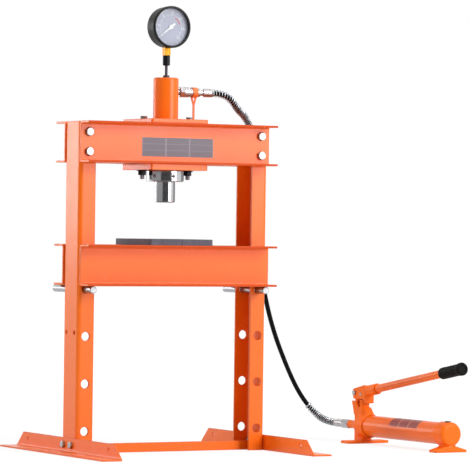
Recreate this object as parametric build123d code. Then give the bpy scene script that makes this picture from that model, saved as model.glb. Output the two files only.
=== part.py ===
from build123d import *
import math
import os

# Hydraulic H-frame shop press with a separate hand pump, in millimetres.
# The origin lies on the floor under the middle of the frame, +X to the right, +Y to the back, +Z up.

# Frame: two folded channel posts, open towards each other
frame_width = 520
post_height = 806
post_depth = 80
post_flange = 43
post_wall = 5
post_bend = 9
pin_row_first = 55
pin_row_pitch = 115
pin_row_count = 4
pin_hole = 22
web_hole = 11
web_hole_height = 294
web_hole_spacing = 42

# Feet: unequal angles bolted to the outer face of each post
foot_length = 570
foot_top_length = 497
foot_height = 38
foot_width = 52
foot_wall = 4
foot_root = 4
foot_end_hole = 9
foot_end_hole_place = 222
foot_end_hole_height = 23

# Lower crossbar: an angle welded between the webs of the posts
crossbar_leg = 23
crossbar_wall = 4

# Upper beams: a folded channel in front of the posts and one behind them
beam_overhang = 1
beam_height = 100
beam_flange = 50
beam_wall = 5
beam_bend = 8
beam_bolt_spacing = 48

# Bolts and nuts
beam_bolt = 12
beam_bolt_flats = 19
beam_bolt_head = 7.5
beam_nut_height = 10
foot_bolt = 10
foot_bolt_flats = 16
foot_bolt_head = 6.4
foot_nut_height = 8
foot_bolt_height = 21
bolt_hole_clearance = 0.5
bolt_overhang = 3

# Table: two channels joined by welded spacers, resting on two round pins
table_height = 100
table_flange = 50
table_wall = 5
table_bend = 8
table_clearance = 5
spacer_wall = 12
spacer_height = 60
spacer_gap = 21
pin_diameter = 18
pin_length = 209
pin_shift = 25
pin_chamfer = 1.5

# Arbor plates lying loose on the table
arbor_width = 84
arbor_depth = 190
arbor_height = 15
arbor_gap = 1
arbor_notch = 44
arbor_chamfer = 1

# Press head: two plates clamped above and below the beams, slid a little off the middle
head_offset = -7
plate_side = 156
plate_corner = 4
upper_plate_wall = 10
lower_plate_wall = 15
clamp_spacing = 126
clamp_bolt = 12
clamp_flats = 19
clamp_head = 7.5
clamp_nut_height = 10
clamp_washer = 26
clamp_washer_wall = 2.5
clamp_end = 10

# Cylinder, ring nut and ram
cylinder_diameter = 62
cylinder_rise = 103
cylinder_crown = 14
cylinder_edge = 3
ram_diameter = 52
ram_reach = 51
ram_length = 250
ram_edge = 2
ram_seal_height = 8
ram_seal_depth = 4
ram_seal_below_top = 12
ring_nut_diameter = 94
ring_nut_height = 28
ring_nut_edge = 2
spanner_hole = 9.5
spanner_hole_depth = 12
spanner_hole_count = 6

# Pressure gauge on a thin stem
stem_foot = 16
stem_foot_height = 6
stem_diameter = 7
stem_height = 24
stem_spigot = 8
coupling_diameter = 18
coupling_height = 25
coupling_edge = 1.5
shank_side = 15
shank_height = 19
gauge_diameter = 100
gauge_depth = 35
gauge_front = 24
gauge_back_wall = 3
gauge_wall = 2
gauge_edge = 4
bezel_diameter = 103
bezel_window = 92
bezel_front = 6
bezel_back = 8
dial_wall = 1.2
dial_recess = 5
pointer_wall = 1
pointer_gap = 2
pointer_hub = 11
pointer_reach = 36
pointer_tail = 14
pointer_width = 5
pointer_tip = 1.2
pointer_rest_angle = 219
pointer_spindle = 3
glass_wall = 2

# Hose couplings on the right of the cylinder
port_drop = 34
port_bore = 10
nipple_diameter = 14
nipple_length = 5
nipple_spigot = 2.5
swivel_flats = 25
swivel_length = 11
socket_diameter = 25
socket_length = 17
socket_edge = 1.5
plug_diameter = 22
plug_length = 30
plug_neck = 15
plug_neck_length = 7
ferrule_diameter = 21
ferrule_length = 25
ferrule_edge = 1
strap_ring = 26
strap_ring_length = 13
strap_ring_start = 7
strap_wall = 3
strap_width = 5
strap_spread = 11
strap_join = 18
strap_clearance = 2

# Hose and its spring guards
hose_diameter = 12
guard_diameter = 19.6
guard_clearance = 0.3
hose_first_run = 26
hose_last_run = 48
hose_route = [
    (178, 6, 873.5),
    (208, 27, 850),
    (264, 82, 832),
    (320, 128, 775),
    (330, 152, 680),
    (350, 178, 560),
    (381, 200, 432),
    (454, 272, 301),
    (545, 342, 183),
    (603, 373, 111),
    (636, 352, 64),
]
upper_guard_bends = 4
lower_guard_bends = 2
fillet_share = 0.45

# Hand pump: its own axes have x along the oil tank, y to its right, z up
pump_x = 651
pump_y = 120
pump_turn = -87.5
base_length = 44
base_width = 126
base_wall = 7
base_corner = 8
base_hole = 9
base_hole_spacing = 100
column_length = 44
column_width = 30
column_top = 92
column_corner = 7
column_shift = -9
tank_axis = 45
collar_diameter = 62
collar_length = 38
collar_reach = 17
collar_edge = 2
web_width = 22
tank_diameter = 55
tank_wall = 3
tank_length = 344
tank_insert = 12
tank_clearance = 0.2
outlet_diameter = 21
outlet_length = 55
outlet_root = 29
outlet_root_length = 14
outlet_bore = 9
hose_nut_flats = 19
hose_nut_length = 12
lower_ferrule_length = 34
ear_wall = 5
ear_root = 20
ear_root_length = 19
ear_gap = 5
ear_overhang = 10
ear_length = 21
lug_radius = 7.5
lug_width = 15

# Pump lever, plunger and pins
pivot_inset = 2
pivot_rise = 37
pivot_pin = 8
pin_head = 12
pin_head_wall = 4
lever_width = 28
fork_gap = 17
fork_depth = 17
lever_rear_radius = 12
lever_belly = 16
lever_back = 22
lever_nose = 6
heel_depth = 10
heel_length = 8
lever_socket_length = 44
mouth_rise = 14
lever_socket = 29
handle_angle = 10.2
handle_diameter = 21
handle_wall = 2.5
handle_insert = 26
handle_length = 404
grip_diameter = 30
grip_length = 92
grip_cap = 4
grip_round = 7
grip_flange = 33
grip_flange_length = 15
grip_flange_edge = 4
grip_notch = 11
grip_notch_depth = 2.4
grip_notch_start = 26
grip_notch_pitch = 11.5
grip_notch_count = 5
lever_arm = 26
plunger_drop = 3
plunger_diameter = 12
plunger_bottom = 48
plunger_pin = 7
eye_width = 14
eye_wall = 2.2
eye_slot = 15.6
eye_slot_lead = 1.2
eye_slot_play = 1.0
gland_flats = 22
gland_height = 5
gland_boss = 25
gland_gap = 1.5
pin_play = 0.1

# Release valve on the hidden side of the pump head
valve_inset = 11
valve_z = 30
valve_stem = 8
valve_stem_depth = 10
valve_knob = 20
valve_knob_length = 14
valve_gap = 3
valve_flute = 4
valve_flute_count = 6

# End cap with a cast foot, and the filler plug
cap_diameter = 61
cap_length = 44
cap_overlap = 14
cap_edge = 10
end_foot_width = 94
end_foot_length = 32
end_foot_wall = 6
end_foot_neck = 34
end_foot_inset = 18
end_foot_corner = 6
filler_diameter = 15
filler_height = 3
filler_bore = 8
filler_inset = 20
filler_seat = 1.2

# Name plate without words on the front beam
label_width = 197
label_height = 46
label_wall = 0.6
label_shift = 4
label_drop = 9

# Fits and cuts
running_fit = 0.05
thread_fit = 0.1
seat_gap = 0.2
overrun = 5

# Places worked out from the sizes above
post_face = frame_width / 2
bolt_x = post_face - post_flange / 2
beam_length = frame_width + 2 * beam_overhang
beam_bottom = post_height - beam_height
beam_face = post_depth / 2 + beam_wall
pin_rows = [pin_row_first + pin_row_pitch * row for row in range(pin_row_count)]
pin_z = pin_rows[-1] - pin_hole / 2 + pin_diameter / 2 + seat_gap
table_length = frame_width
table_bottom = pin_z + pin_diameter / 2 + seat_gap
table_top = table_bottom + table_height
table_back = post_depth / 2 + table_clearance
spacer_place = post_face - post_flange - spacer_gap - spacer_wall / 2
beam_bolt_rows = [beam_bottom + beam_height / 2 + side * beam_bolt_spacing / 2 for side in (-1, 1)]
upper_plate_top = post_height + upper_plate_wall
lower_plate_bottom = beam_bottom - lower_plate_wall
ring_nut_bottom = lower_plate_bottom - ring_nut_height
cylinder_top = upper_plate_top + cylinder_rise
ram_bottom = ring_nut_bottom - ram_reach
port_height = cylinder_top - port_drop
strap_end = upper_plate_top + strap_clearance
gauge_bottom = cylinder_top + stem_foot_height + stem_height + coupling_height + shank_height
gauge_z = gauge_bottom + gauge_diameter / 2
dial_y = -gauge_front + dial_recess
pump_place = Pos(pump_x, pump_y, 0) * Rot(0, 0, pump_turn)
column_front = column_shift + column_length / 2
column_rear = column_shift - column_length / 2
outlet_end = column_rear - outlet_length
hose_nut_end = outlet_end - hose_nut_length
lower_ferrule_end = hose_nut_end - lower_ferrule_length
collar_end = column_front + collar_reach
collar_start = collar_end - collar_length
tank_start = collar_end - tank_insert
tank_end = tank_start + tank_length
cap_start = tank_end - cap_overlap
cap_end = cap_start + cap_length
end_foot_place = cap_end - end_foot_inset
filler_place = cap_end - filler_inset
pivot_x = column_rear + pivot_inset
pivot_z = column_top + pivot_rise
plunger_x = pivot_x + lever_arm
plunger_z = pivot_z - plunger_drop
lever_bottom = pivot_z - lever_belly
lever_top = pivot_z + lever_back
fork_end = plunger_x + fork_depth
socket_start = fork_end
mouth_x = socket_start + lever_socket_length
mouth_z = pivot_z + mouth_rise
heel_end = fork_end + lever_nose
heel_start = heel_end - heel_length
heel_bottom = lever_bottom - heel_depth
ear_top = lever_bottom - ear_gap
gland_boss_height = lever_bottom - gland_gap - gland_height - column_top
valve_x = column_rear + valve_inset


def rod(origin, direction, diameter, length):
    """Solid round bar that starts at a point and runs along a direction."""
    align = (Align.CENTER, Align.CENTER, Align.MIN)
    return Plane(origin=origin, z_dir=direction) * Cylinder(diameter / 2, length, align=align)


def sleeve(origin, direction, outer, inner, length):
    """Round bar with a bore right through it."""
    return rod(origin, direction, outer, length) - rod(origin, direction, inner, length)


def hexagon(origin, direction, flats, length):
    """Six-sided bar that starts at a point and runs along a direction."""
    face = Plane(origin=origin, z_dir=direction) * RegularPolygon(flats / 2, 6, major_radius=False)
    return extrude(face, length)


def block(low, high):
    """Box between two corners."""
    sizes = [b - a for a, b in zip(low, high)]
    return Pos(*low) * Box(*sizes, align=(Align.MIN, Align.MIN, Align.MIN))


def step(origin, direction, distance):
    """Point at a distance along a direction."""
    return tuple(o + d * distance for o, d in zip(origin, direction))


def hex_bolt(origin, direction, size, flats, head, length):
    """Bolt whose head sits on a point and whose shank runs along a direction."""
    top = step(origin, direction, -head)
    return hexagon(top, direction, flats, head) + rod(origin, direction, size, length)


def hex_nut(origin, direction, size, flats, height):
    """Nut that sits on a point."""
    bore = size + 2 * thread_fit
    return hexagon(origin, direction, flats, height) - rod(origin, direction, bore, height)


def channel_profile(depth, flange, wall, bend):
    """Folded channel: the web lies on the line x = 0 and the flanges point to +x."""
    outer = Pos(flange / 2, 0) * Rectangle(flange, depth)
    outer = fillet(outer.vertices().group_by(Axis.X)[0], bend)
    inner = Pos(wall + flange / 2, 0) * Rectangle(flange, depth - 2 * wall)
    inner = fillet(inner.vertices().group_by(Axis.X)[0], bend - wall)
    return outer - inner


def front_channel(length, height, flange, wall, bend, back, bottom):
    """Channel that lies along X in front of the posts, flanges to the front."""
    origin = (-length / 2, -back, bottom + height / 2)
    plane = Plane(origin=origin, x_dir=(0, -1, 0), z_dir=(1, 0, 0))
    return extrude(plane * channel_profile(height, flange, wall, bend), length)


def turned_round(shape):
    """Same shape on the opposite side of the frame."""
    return Rot(0, 0, 180) * shape


def group(shapes):
    """Equal fasteners kept as separate solids in one node."""
    return Compound(children=list(shapes))


def left_post():
    """Folded post with its pin holes, beam bolt holes and foot bolt holes."""
    profile = Pos(-post_face, 0) * channel_profile(post_depth, post_flange, post_wall, post_bend)
    body = extrude(profile, post_height)
    across = [(z, pin_hole) for z in pin_rows]
    across += [(z, beam_bolt + 2 * bolt_hole_clearance) for z in beam_bolt_rows]
    for z, hole in across:
        body -= rod((-bolt_x, -post_depth, z), (0, 1, 0), hole, 2 * post_depth)
    for side in (-1, 1):
        y = side * web_hole_spacing / 2
        for z in (foot_bolt_height, web_hole_height):
            body -= rod((-post_face - overrun, y, z), (1, 0, 0), web_hole, post_wall + 2 * overrun)
    return body


def left_foot():
    """Angle foot with slanted ends on its upright leg."""
    inner, outer = -post_face, -post_face - foot_width
    corner = (inner - foot_wall, foot_wall)
    section = Polygon(
        (inner, 0), (outer, 0), (outer, foot_wall), corner, (corner[0], foot_height), (inner, foot_height),
        align=None,
    )
    root = section.vertices().sort_by_distance((*corner, 0))[0]
    section = fillet(root, foot_root)
    body = extrude(Plane.XZ * section, foot_length / 2, both=True)
    half, top = foot_length / 2, foot_top_length / 2
    side = Polygon(
        (-half, 0), (half, 0), (half, foot_wall), (top, foot_height), (-top, foot_height), (-half, foot_wall),
        align=None,
    )
    body &= extrude(Plane.YZ * side, frame_width, both=True)
    cut = foot_wall + 2 * overrun
    for y, z, hole in foot_holes():
        body -= rod((inner - foot_wall - overrun, y, z), (1, 0, 0), hole, cut)
    return body


def foot_holes():
    """Bolt holes near the middle of a foot and one plain hole near each end."""
    for side in (-1, 1):
        yield side * web_hole_spacing / 2, foot_bolt_height, web_hole
        yield side * foot_end_hole_place, foot_end_hole_height, foot_end_hole


def crossbar():
    """Angle bar between the webs of the posts, with its upright leg in front."""
    front, back, wall = -crossbar_leg / 2, crossbar_leg / 2, crossbar_wall
    section = Polygon(
        (front, 0), (back, 0), (back, wall), (front + wall, wall), (front + wall, crossbar_leg),
        (front, crossbar_leg),
        align=None,
    )
    return extrude(Plane.YZ * section, post_face - post_wall, both=True)


def frame_nodes():
    """Posts, feet, crossbar, upper beams and the bolts that hold them."""
    post, foot = left_post(), left_foot()
    beam = front_channel(
        beam_length, beam_height, beam_flange, beam_wall, beam_bend, post_depth / 2, beam_bottom
    )
    hole = beam_bolt + 2 * bolt_hole_clearance
    for side in (-1, 1):
        for z in beam_bolt_rows:
            beam -= rod((side * bolt_x, -beam_face - overrun, z), (0, 1, 0), hole, beam_wall + 2 * overrun)
    bolts, nuts, foot_bolts, foot_nuts = [], [], [], []
    grip = beam_wall + post_wall
    foot_grip = foot_wall + post_wall
    for side in (-1, 1):
        for face in (-1, 1):
            inward = (0, -face, 0)
            for z in beam_bolt_rows:
                seat = (side * bolt_x, face * beam_face, z)
                length = grip + beam_nut_height + bolt_overhang
                bolts.append(hex_bolt(seat, inward, beam_bolt, beam_bolt_flats, beam_bolt_head, length))
                nuts.append(
                    hex_nut(step(seat, inward, grip), inward, beam_bolt, beam_bolt_flats, beam_nut_height)
                )
            inward = (-side, 0, 0)
            seat = (side * (post_face + foot_wall), face * web_hole_spacing / 2, foot_bolt_height)
            length = foot_grip + foot_nut_height + bolt_overhang
            foot_bolts.append(hex_bolt(seat, inward, foot_bolt, foot_bolt_flats, foot_bolt_head, length))
            foot_nuts.append(
                hex_nut(step(seat, inward, foot_grip), inward, foot_bolt, foot_bolt_flats, foot_nut_height)
            )
    middle = beam_bottom + beam_height / 2 - label_drop
    label = block(
        (label_shift - label_width / 2, -beam_face - label_wall, middle - label_height / 2),
        (label_shift + label_width / 2, -beam_face, middle + label_height / 2),
    )
    return {
        "left_post": post,
        "right_post": turned_round(post),
        "left_foot": foot,
        "right_foot": turned_round(foot),
        "lower_crossbar": crossbar(),
        "front_upper_beam": beam,
        "rear_upper_beam": turned_round(beam),
        "beam_bolts": group(bolts),
        "beam_nuts": group(nuts),
        "foot_bolts": group(foot_bolts),
        "foot_nuts": group(foot_nuts),
        "label_plate": label,
    }


def arbor_plate(side):
    """Loose plate with a right-angled notch in the edge that faces its twin."""
    inner = head_offset + side * arbor_gap / 2
    outer = inner + side * arbor_width
    body = block(
        (min(inner, outer), -arbor_depth / 2, table_top),
        (max(inner, outer), arbor_depth / 2, table_top + arbor_height),
    )
    half = arbor_notch / 2
    notch = Polygon((inner, -half), (inner + side * half, 0), (inner, half), align=None)
    body -= extrude(Pos(0, 0, table_top) * notch, arbor_height, both=True)
    return chamfer(body.edges().group_by(Axis.Z)[-1], arbor_chamfer)


def table_nodes():
    """Table channels, their spacers, the pins under them and the plates on them."""
    channel = front_channel(
        table_length, table_height, table_flange, table_wall, table_bend, table_back, table_bottom
    )
    nodes = {"table_front_channel": channel, "table_rear_channel": turned_round(channel)}
    middle = table_bottom + table_height / 2
    for side, name in ((-1, "left"), (1, "right")):
        x = side * spacer_place
        nodes[f"{name}_table_spacer"] = block(
            (x - spacer_wall / 2, -table_back, middle - spacer_height / 2),
            (x + spacer_wall / 2, table_back, middle + spacer_height / 2),
        )
        pin = rod((side * bolt_x, pin_shift - pin_length / 2, pin_z), (0, 1, 0), pin_diameter, pin_length)
        nodes[f"{name}_table_pin"] = chamfer(pin.edges().filter_by(GeomType.CIRCLE), pin_chamfer)
        nodes[f"{name}_arbor_plate"] = arbor_plate(side)
    return nodes


def clamp_plate(bottom, wall):
    """Square plate with holes for the cylinder and the two clamp bolts."""
    half = plate_side / 2
    body = block((head_offset - half, -half, bottom), (head_offset + half, half, bottom + wall))
    body = fillet(body.edges().filter_by(Axis.Z), plate_corner)
    down = bottom - overrun
    cut = wall + 2 * overrun
    body -= rod((head_offset, 0, down), (0, 0, 1), cylinder_diameter + 2 * bolt_hole_clearance, cut)
    for side in (-1, 1):
        x = head_offset + side * clamp_spacing / 2
        body -= rod((x, 0, down), (0, 0, 1), clamp_bolt + 2 * bolt_hole_clearance, cut)
    return body


def ram_nodes():
    """Ram with its seal, free to slide in the cylinder."""
    top = ram_bottom + ram_length
    seal_top = top - ram_seal_below_top
    seal_bottom = seal_top - ram_seal_height
    ram = rod((head_offset, 0, ram_bottom), (0, 0, 1), ram_diameter, ram_length)
    ram = chamfer(ram.edges().filter_by(GeomType.CIRCLE), ram_edge)
    core = ram_diameter - 2 * ram_seal_depth
    seal = sleeve((head_offset, 0, seal_bottom), (0, 0, 1), ram_diameter, core, ram_seal_height)
    return {"ram": ram - seal, "ram_seal": seal}


def ring_nut():
    """Round nut with radial holes for a pin spanner."""
    up = (0, 0, 1)
    start = (head_offset, 0, ring_nut_bottom)
    body = rod(start, up, ring_nut_diameter, ring_nut_height)
    body = chamfer(body.edges().filter_by(GeomType.CIRCLE), ring_nut_edge)
    body -= rod(start, up, cylinder_diameter + 2 * thread_fit, ring_nut_height)
    middle = ring_nut_bottom + ring_nut_height / 2
    for turn in range(spanner_hole_count):
        angle = 2 * math.pi * (turn + 1 / 2) / spanner_hole_count
        outward = (math.cos(angle), math.sin(angle), 0)
        floor = step((head_offset, 0, middle), outward, ring_nut_diameter / 2 - spanner_hole_depth)
        body -= rod(floor, outward, spanner_hole, spanner_hole_depth + overrun)
    return body


def cylinder_tube():
    """Cylinder closed at the top, with an oil port in its side and a gauge port in its crown."""
    up = (0, 0, 1)
    start = (head_offset, 0, ring_nut_bottom)
    length = cylinder_top - ring_nut_bottom
    body = rod(start, up, cylinder_diameter, length)
    body = chamfer(body.edges().filter_by(GeomType.CIRCLE).group_by(Axis.Z)[-1], cylinder_edge)
    body -= rod(start, up, ram_diameter + 2 * running_fit, length - cylinder_crown)
    body -= rod((head_offset, 0, port_height), (1, 0, 0), port_bore, cylinder_diameter)
    body -= rod((head_offset, 0, cylinder_top - cylinder_crown), up, stem_spigot, cylinder_crown)
    return body


def head_nodes():
    """Plates, clamp bolts, cylinder and ring nut."""
    bolts, nuts, washers = [], [], []
    down = (0, 0, -1)
    for side in (-1, 1):
        x = head_offset + side * clamp_spacing / 2
        grip = upper_plate_top - lower_plate_bottom + clamp_washer_wall
        length = grip + clamp_nut_height + clamp_end
        top = (x, 0, upper_plate_top)
        bolts.append(hex_bolt(top, down, clamp_bolt, clamp_flats, clamp_head, length))
        nuts.append(hex_nut(step(top, down, grip), down, clamp_bolt, clamp_flats, clamp_nut_height))
        bore = clamp_bolt + 2 * bolt_hole_clearance
        washers.append(sleeve((x, 0, lower_plate_bottom), down, clamp_washer, bore, clamp_washer_wall))
    return {
        "upper_clamp_plate": clamp_plate(post_height, upper_plate_wall),
        "lower_clamp_plate": clamp_plate(lower_plate_bottom, lower_plate_wall),
        "clamp_bolts": group(bolts),
        "clamp_nuts": group(nuts),
        "clamp_washers": group(washers),
        "cylinder_tube": cylinder_tube(),
        "ring_nut": ring_nut(),
        **ram_nodes(),
    }


def gauge_pointer(hub):
    """Pointer with a pointed reach, a broad tail, a hub and a short spindle."""
    half, tip, tail = pointer_width / 2, pointer_tip / 2, pointer_tail
    outline = Polygon(
        (-tail, -half), (0, -half), (pointer_reach, -tip), (pointer_reach, tip), (0, half), (-tail, half),
        align=None,
    )
    angle = math.radians(pointer_rest_angle)
    plane = Plane(origin=hub, x_dir=(math.cos(angle), 0, math.sin(angle)), z_dir=(0, -1, 0))
    body = extrude(plane * outline, pointer_wall)
    body += rod(hub, (0, -1, 0), pointer_hub, 2 * pointer_wall)
    return body + rod(step(hub, (0, 1, 0), pointer_gap), (0, -1, 0), pointer_spindle, pointer_gap)


def gauge_nodes():
    """Stem, coupling, shank, case, bezel, dial, pointer and glass."""
    up, front = (0, 0, 1), (0, -1, 0)
    foot_z = cylinder_top
    stem_z = foot_z + stem_foot_height
    coupling_z = stem_z + stem_height
    shank_z = coupling_z + coupling_height
    stem = rod((head_offset, 0, foot_z), up, stem_foot, stem_foot_height)
    stem += rod((head_offset, 0, stem_z), up, stem_diameter, stem_height)
    spigot = stem_spigot - 2 * thread_fit
    stem += rod((head_offset, 0, foot_z), (0, 0, -1), spigot, cylinder_crown)
    coupling = rod((head_offset, 0, coupling_z), up, coupling_diameter, coupling_height)
    coupling = chamfer(coupling.edges().filter_by(GeomType.CIRCLE), coupling_edge)
    half = shank_side / 2
    back = gauge_depth - gauge_front
    shank = block((head_offset - half, -half, shank_z), (head_offset + half, half, gauge_z))
    rear = (head_offset, back, gauge_z)
    case = rod(rear, front, gauge_diameter, gauge_depth)
    case = fillet(case.edges().filter_by(GeomType.CIRCLE).group_by(Axis.Y)[-1], gauge_edge)
    shank -= case
    depth = gauge_depth - gauge_back_wall
    room = step(rear, front, gauge_back_wall)
    case -= rod(room, front, gauge_diameter - 2 * gauge_wall, depth)
    dial_face = (head_offset, dial_y - dial_wall, gauge_z)
    dial_diameter = gauge_diameter - 2 * gauge_wall - 2 * seat_gap
    dial_back = (head_offset, dial_y, gauge_z)
    dial = rod(dial_back, front, dial_diameter, dial_wall)
    plinth = depth - dial_recess
    dial += rod(dial_back, (0, 1, 0), dial_diameter, plinth)
    spindle_bore = pointer_spindle + 2 * running_fit
    dial -= rod(dial_face, (0, 1, 0), spindle_bore, dial_wall + pointer_gap)
    bezel_y = -gauge_front - bezel_front
    glass_y = -gauge_front - glass_wall
    bezel = rod((head_offset, bezel_y, gauge_z), (0, 1, 0), bezel_diameter, bezel_front + bezel_back)
    bezel = fillet(bezel.edges().filter_by(GeomType.CIRCLE).group_by(Axis.Y)[0], bezel_front / 2)
    bezel -= rod((head_offset, glass_y, gauge_z), (0, 1, 0), gauge_diameter + 2 * seat_gap, bezel_diameter)
    bezel -= rod((head_offset, bezel_y, gauge_z), (0, 1, 0), bezel_window, bezel_front)
    glass = rod((head_offset, glass_y, gauge_z), (0, 1, 0), gauge_diameter, glass_wall)
    pointer = gauge_pointer((head_offset, dial_y - dial_wall - pointer_wall, gauge_z))
    return {
        "gauge_stem": stem,
        "gauge_coupling": coupling,
        "gauge_shank": shank,
        "gauge_case": case,
        "gauge_dial": dial,
        "gauge_bezel": bezel,
        "gauge_glass": glass,
        "gauge_pointer": pointer,
    }


def dust_cap_strap(start):
    """Rubber ring on the coupling with a forked strap that hangs down to the plate."""
    bore = plug_diameter + 2 * seat_gap
    ring = sleeve((start, 0, port_height), (1, 0, 0), strap_ring, bore, strap_ring_length)
    middle = start + strap_ring_length / 2
    bottom = port_height - (plug_diameter + strap_ring) / 4
    join = port_height - strap_ring / 2 - strap_join
    spread, half = strap_spread / 2, strap_width / 2
    fork = Polygon(
        (-spread - half, bottom), (-spread + half, bottom), (0, join + strap_width), (spread - half, bottom),
        (spread + half, bottom), (half, join), (half, strap_end), (-half, strap_end), (-half, join),
        align=None,
    )
    plane = Plane(origin=(middle, 0, 0), x_dir=(1, 0, 0), z_dir=(0, -1, 0))
    return ring + extrude(plane * fork, strap_wall / 2, both=True)


def fitting_nodes():
    """Turned fittings from the cylinder's side to the upper end of the hose."""
    right = (1, 0, 0)
    x = head_offset + cylinder_diameter / 2
    nipple = rod((x, 0, port_height), right, nipple_diameter, nipple_length)
    nipple += rod((x - nipple_spigot, 0, port_height), right, port_bore - 2 * thread_fit, nipple_spigot)
    x += nipple_length
    swivel = hexagon((x, 0, port_height), right, swivel_flats, swivel_length)
    x += swivel_length
    socket = rod((x, 0, port_height), right, socket_diameter, socket_length)
    socket = chamfer(socket.edges().filter_by(GeomType.CIRCLE), socket_edge)
    x += socket_length
    plug = rod((x, 0, port_height), right, plug_diameter, plug_length)
    neck = (x + plug_length, 0, port_height)
    plug += rod(neck, right, plug_neck, plug_neck_length)
    strap = dust_cap_strap(x + strap_ring_start)
    x += plug_length + plug_neck_length
    ferrule = rod((x, 0, port_height), right, ferrule_diameter, ferrule_length)
    ferrule = chamfer(ferrule.edges().filter_by(GeomType.CIRCLE), ferrule_edge)
    return {
        "cylinder_port_nipple": nipple,
        "coupler_swivel_nut": swivel,
        "coupler_socket": socket,
        "coupler_plug": plug,
        "dust_cap_strap": strap,
        "upper_hose_ferrule": ferrule,
    }, (x + ferrule_length, 0, port_height)


def hose_nodes(start):
    """Hose of straight runs and arcs from the upper ferrule to the pump, with its two spring guards."""
    angle = math.radians(pump_turn)
    forward = (math.cos(angle), math.sin(angle), 0)
    end = step((pump_x, pump_y, tank_axis), forward, lower_ferrule_end)
    lead = step(start, (1, 0, 0), hose_first_run)
    points = [start, lead, *hose_route, step(end, forward, -hose_last_run), end]
    points = [Vector(*point) for point in points]
    radii = []
    for before, here, after in zip(points, points[1:], points[2:]):
        turn = math.radians((here - before).get_angle(after - here))
        run = min((here - before).length, (after - here).length)
        radii.append(fillet_share * run / math.tan(turn / 2))
    print("hose radii", [round(radius) for radius in radii])
    line = FilletPolyline(*points, radius=radii)
    print("hose length", round(line.length))
    hose = sweep(Plane(line @ 0, z_dir=line % 0) * Circle(hose_diameter / 2), path=line)
    return {
        "hose": hose,
        "upper_spring_guard": spring_guard(points, radii, upper_guard_bends),
        "lower_spring_guard": spring_guard(points[::-1], radii[::-1], lower_guard_bends),
    }


def spring_guard(points, radii, bends):
    """Sleeve that stands for the coil over the first few bends of the hose."""
    last, beyond = points[bends], points[bends + 1]
    line = FilletPolyline(*points[: bends + 1], (last + beyond) / 2, radius=radii[:bends])
    inner = hose_diameter / 2 + guard_clearance
    section = Circle(guard_diameter / 2) - Circle(inner)
    return sweep(Plane(line @ 0, z_dir=line % 0) * section, path=line)


def pump_head():
    """Cast head: base plate, column, web, tank collar, outlet boss, pivot lug and two flared ears."""
    base = block((-base_length / 2, -base_width / 2, 0), (base_length / 2, base_width / 2, base_wall))
    base = fillet(base.edges().filter_by(Axis.Z), base_corner)
    cut = base_wall + 2 * overrun
    for side in (-1, 1):
        base -= rod((0, side * base_hole_spacing / 2, -overrun), (0, 0, 1), base_hole, cut)
    half = column_width / 2
    column = block((column_rear, -half, 0), (column_front, half, column_top))
    column = fillet(column.edges().filter_by(Axis.Z), column_corner)
    forward, back, up = (1, 0, 0), (-1, 0, 0), (0, 0, 1)
    collar = rod((collar_start, 0, tank_axis), forward, collar_diameter, collar_end - collar_start)
    collar = chamfer(collar.edges().filter_by(GeomType.CIRCLE), collar_edge)
    inside = column_rear + column_corner
    outlet = rod((inside, 0, tank_axis), back, outlet_diameter, inside - outlet_end)
    align = (Align.CENTER, Align.CENTER, Align.MIN)
    root = Cone(outlet_root / 2, outlet_diameter / 2, outlet_root_length, align=align)
    outlet += Plane(origin=(column_rear, 0, tank_axis), z_dir=back) * root
    cheek = lug_width / 2
    lug = block((pivot_x - lug_radius, -cheek, column_top), (pivot_x + lug_radius, cheek, pivot_z))
    lug += rod((pivot_x, -cheek, pivot_z), (0, 1, 0), 2 * lug_radius, lug_width)
    boss = rod((plunger_x, 0, column_top), up, gland_boss, gland_boss_height)
    body = base + column + front_web() + collar + outlet + lug + boss + ears()
    seat = tank_diameter + 2 * tank_clearance
    body -= rod((tank_start, 0, tank_axis), forward, seat, collar_end)
    body -= rod((outlet_end, 0, tank_axis), forward, outlet_bore, outlet_length)
    body -= rod((pivot_x, -lug_width, pivot_z), (0, 1, 0), pivot_pin + 2 * pin_play, 2 * lug_width)
    bore = plunger_diameter + 2 * running_fit
    depth = column_top + gland_boss_height - plunger_bottom
    body -= rod((plunger_x, 0, plunger_bottom), up, bore, depth)
    stem = valve_stem + 2 * running_fit
    return body - rod((valve_x, half - valve_stem_depth, valve_z), (0, 1, 0), stem, valve_stem_depth)


def front_web():
    """Sloping web between the front of the column and the tank collar."""
    foot = tank_axis + collar_diameter / 2 - collar_edge
    outline = Polygon(
        (column_shift, foot), (collar_end - collar_edge, foot), (column_front, column_top),
        (column_shift, column_top),
        align=None,
    )
    return extrude(Plane.XZ * outline, web_width / 2, both=True)


def ears():
    """Cheek plates on both sides of the column that lean back under the lever's fork."""
    top, root = ear_top, column_top - ear_root
    rear, front = column_rear - ear_overhang, column_rear + ear_root_length
    outline = Polygon(
        (column_rear, root), (front, root), (front, column_top), (rear + ear_length, top), (rear, top),
        align=None,
    )
    plane = Plane(origin=(0, column_width / 2, 0), x_dir=(1, 0, 0), z_dir=(0, -1, 0))
    ear = extrude(plane * outline, ear_wall)
    return ear + mirror(ear, Plane.XZ)


def lever_outline():
    """Side view of the lever: round rear end, straight belly, heel and rising back."""
    pivot = (pivot_x, pivot_z)
    rear = Pos(*pivot) * Circle(lever_rear_radius)
    belly = Polygon(
        (pivot_x, lever_bottom), (heel_start, lever_bottom), (heel_start, heel_bottom),
        (heel_end, heel_bottom), (heel_end, mouth_z), (socket_start, lever_top),
        (pivot_x, pivot_z + lever_rear_radius),
        align=None,
    )
    rear_block = Polygon(
        (pivot_x - lever_rear_radius, pivot_z), (pivot_x, pivot_z), (pivot_x, lever_bottom),
        (pivot_x - lever_rear_radius / 2, lever_bottom),
        align=None,
    )
    return rear + belly + rear_block


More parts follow.
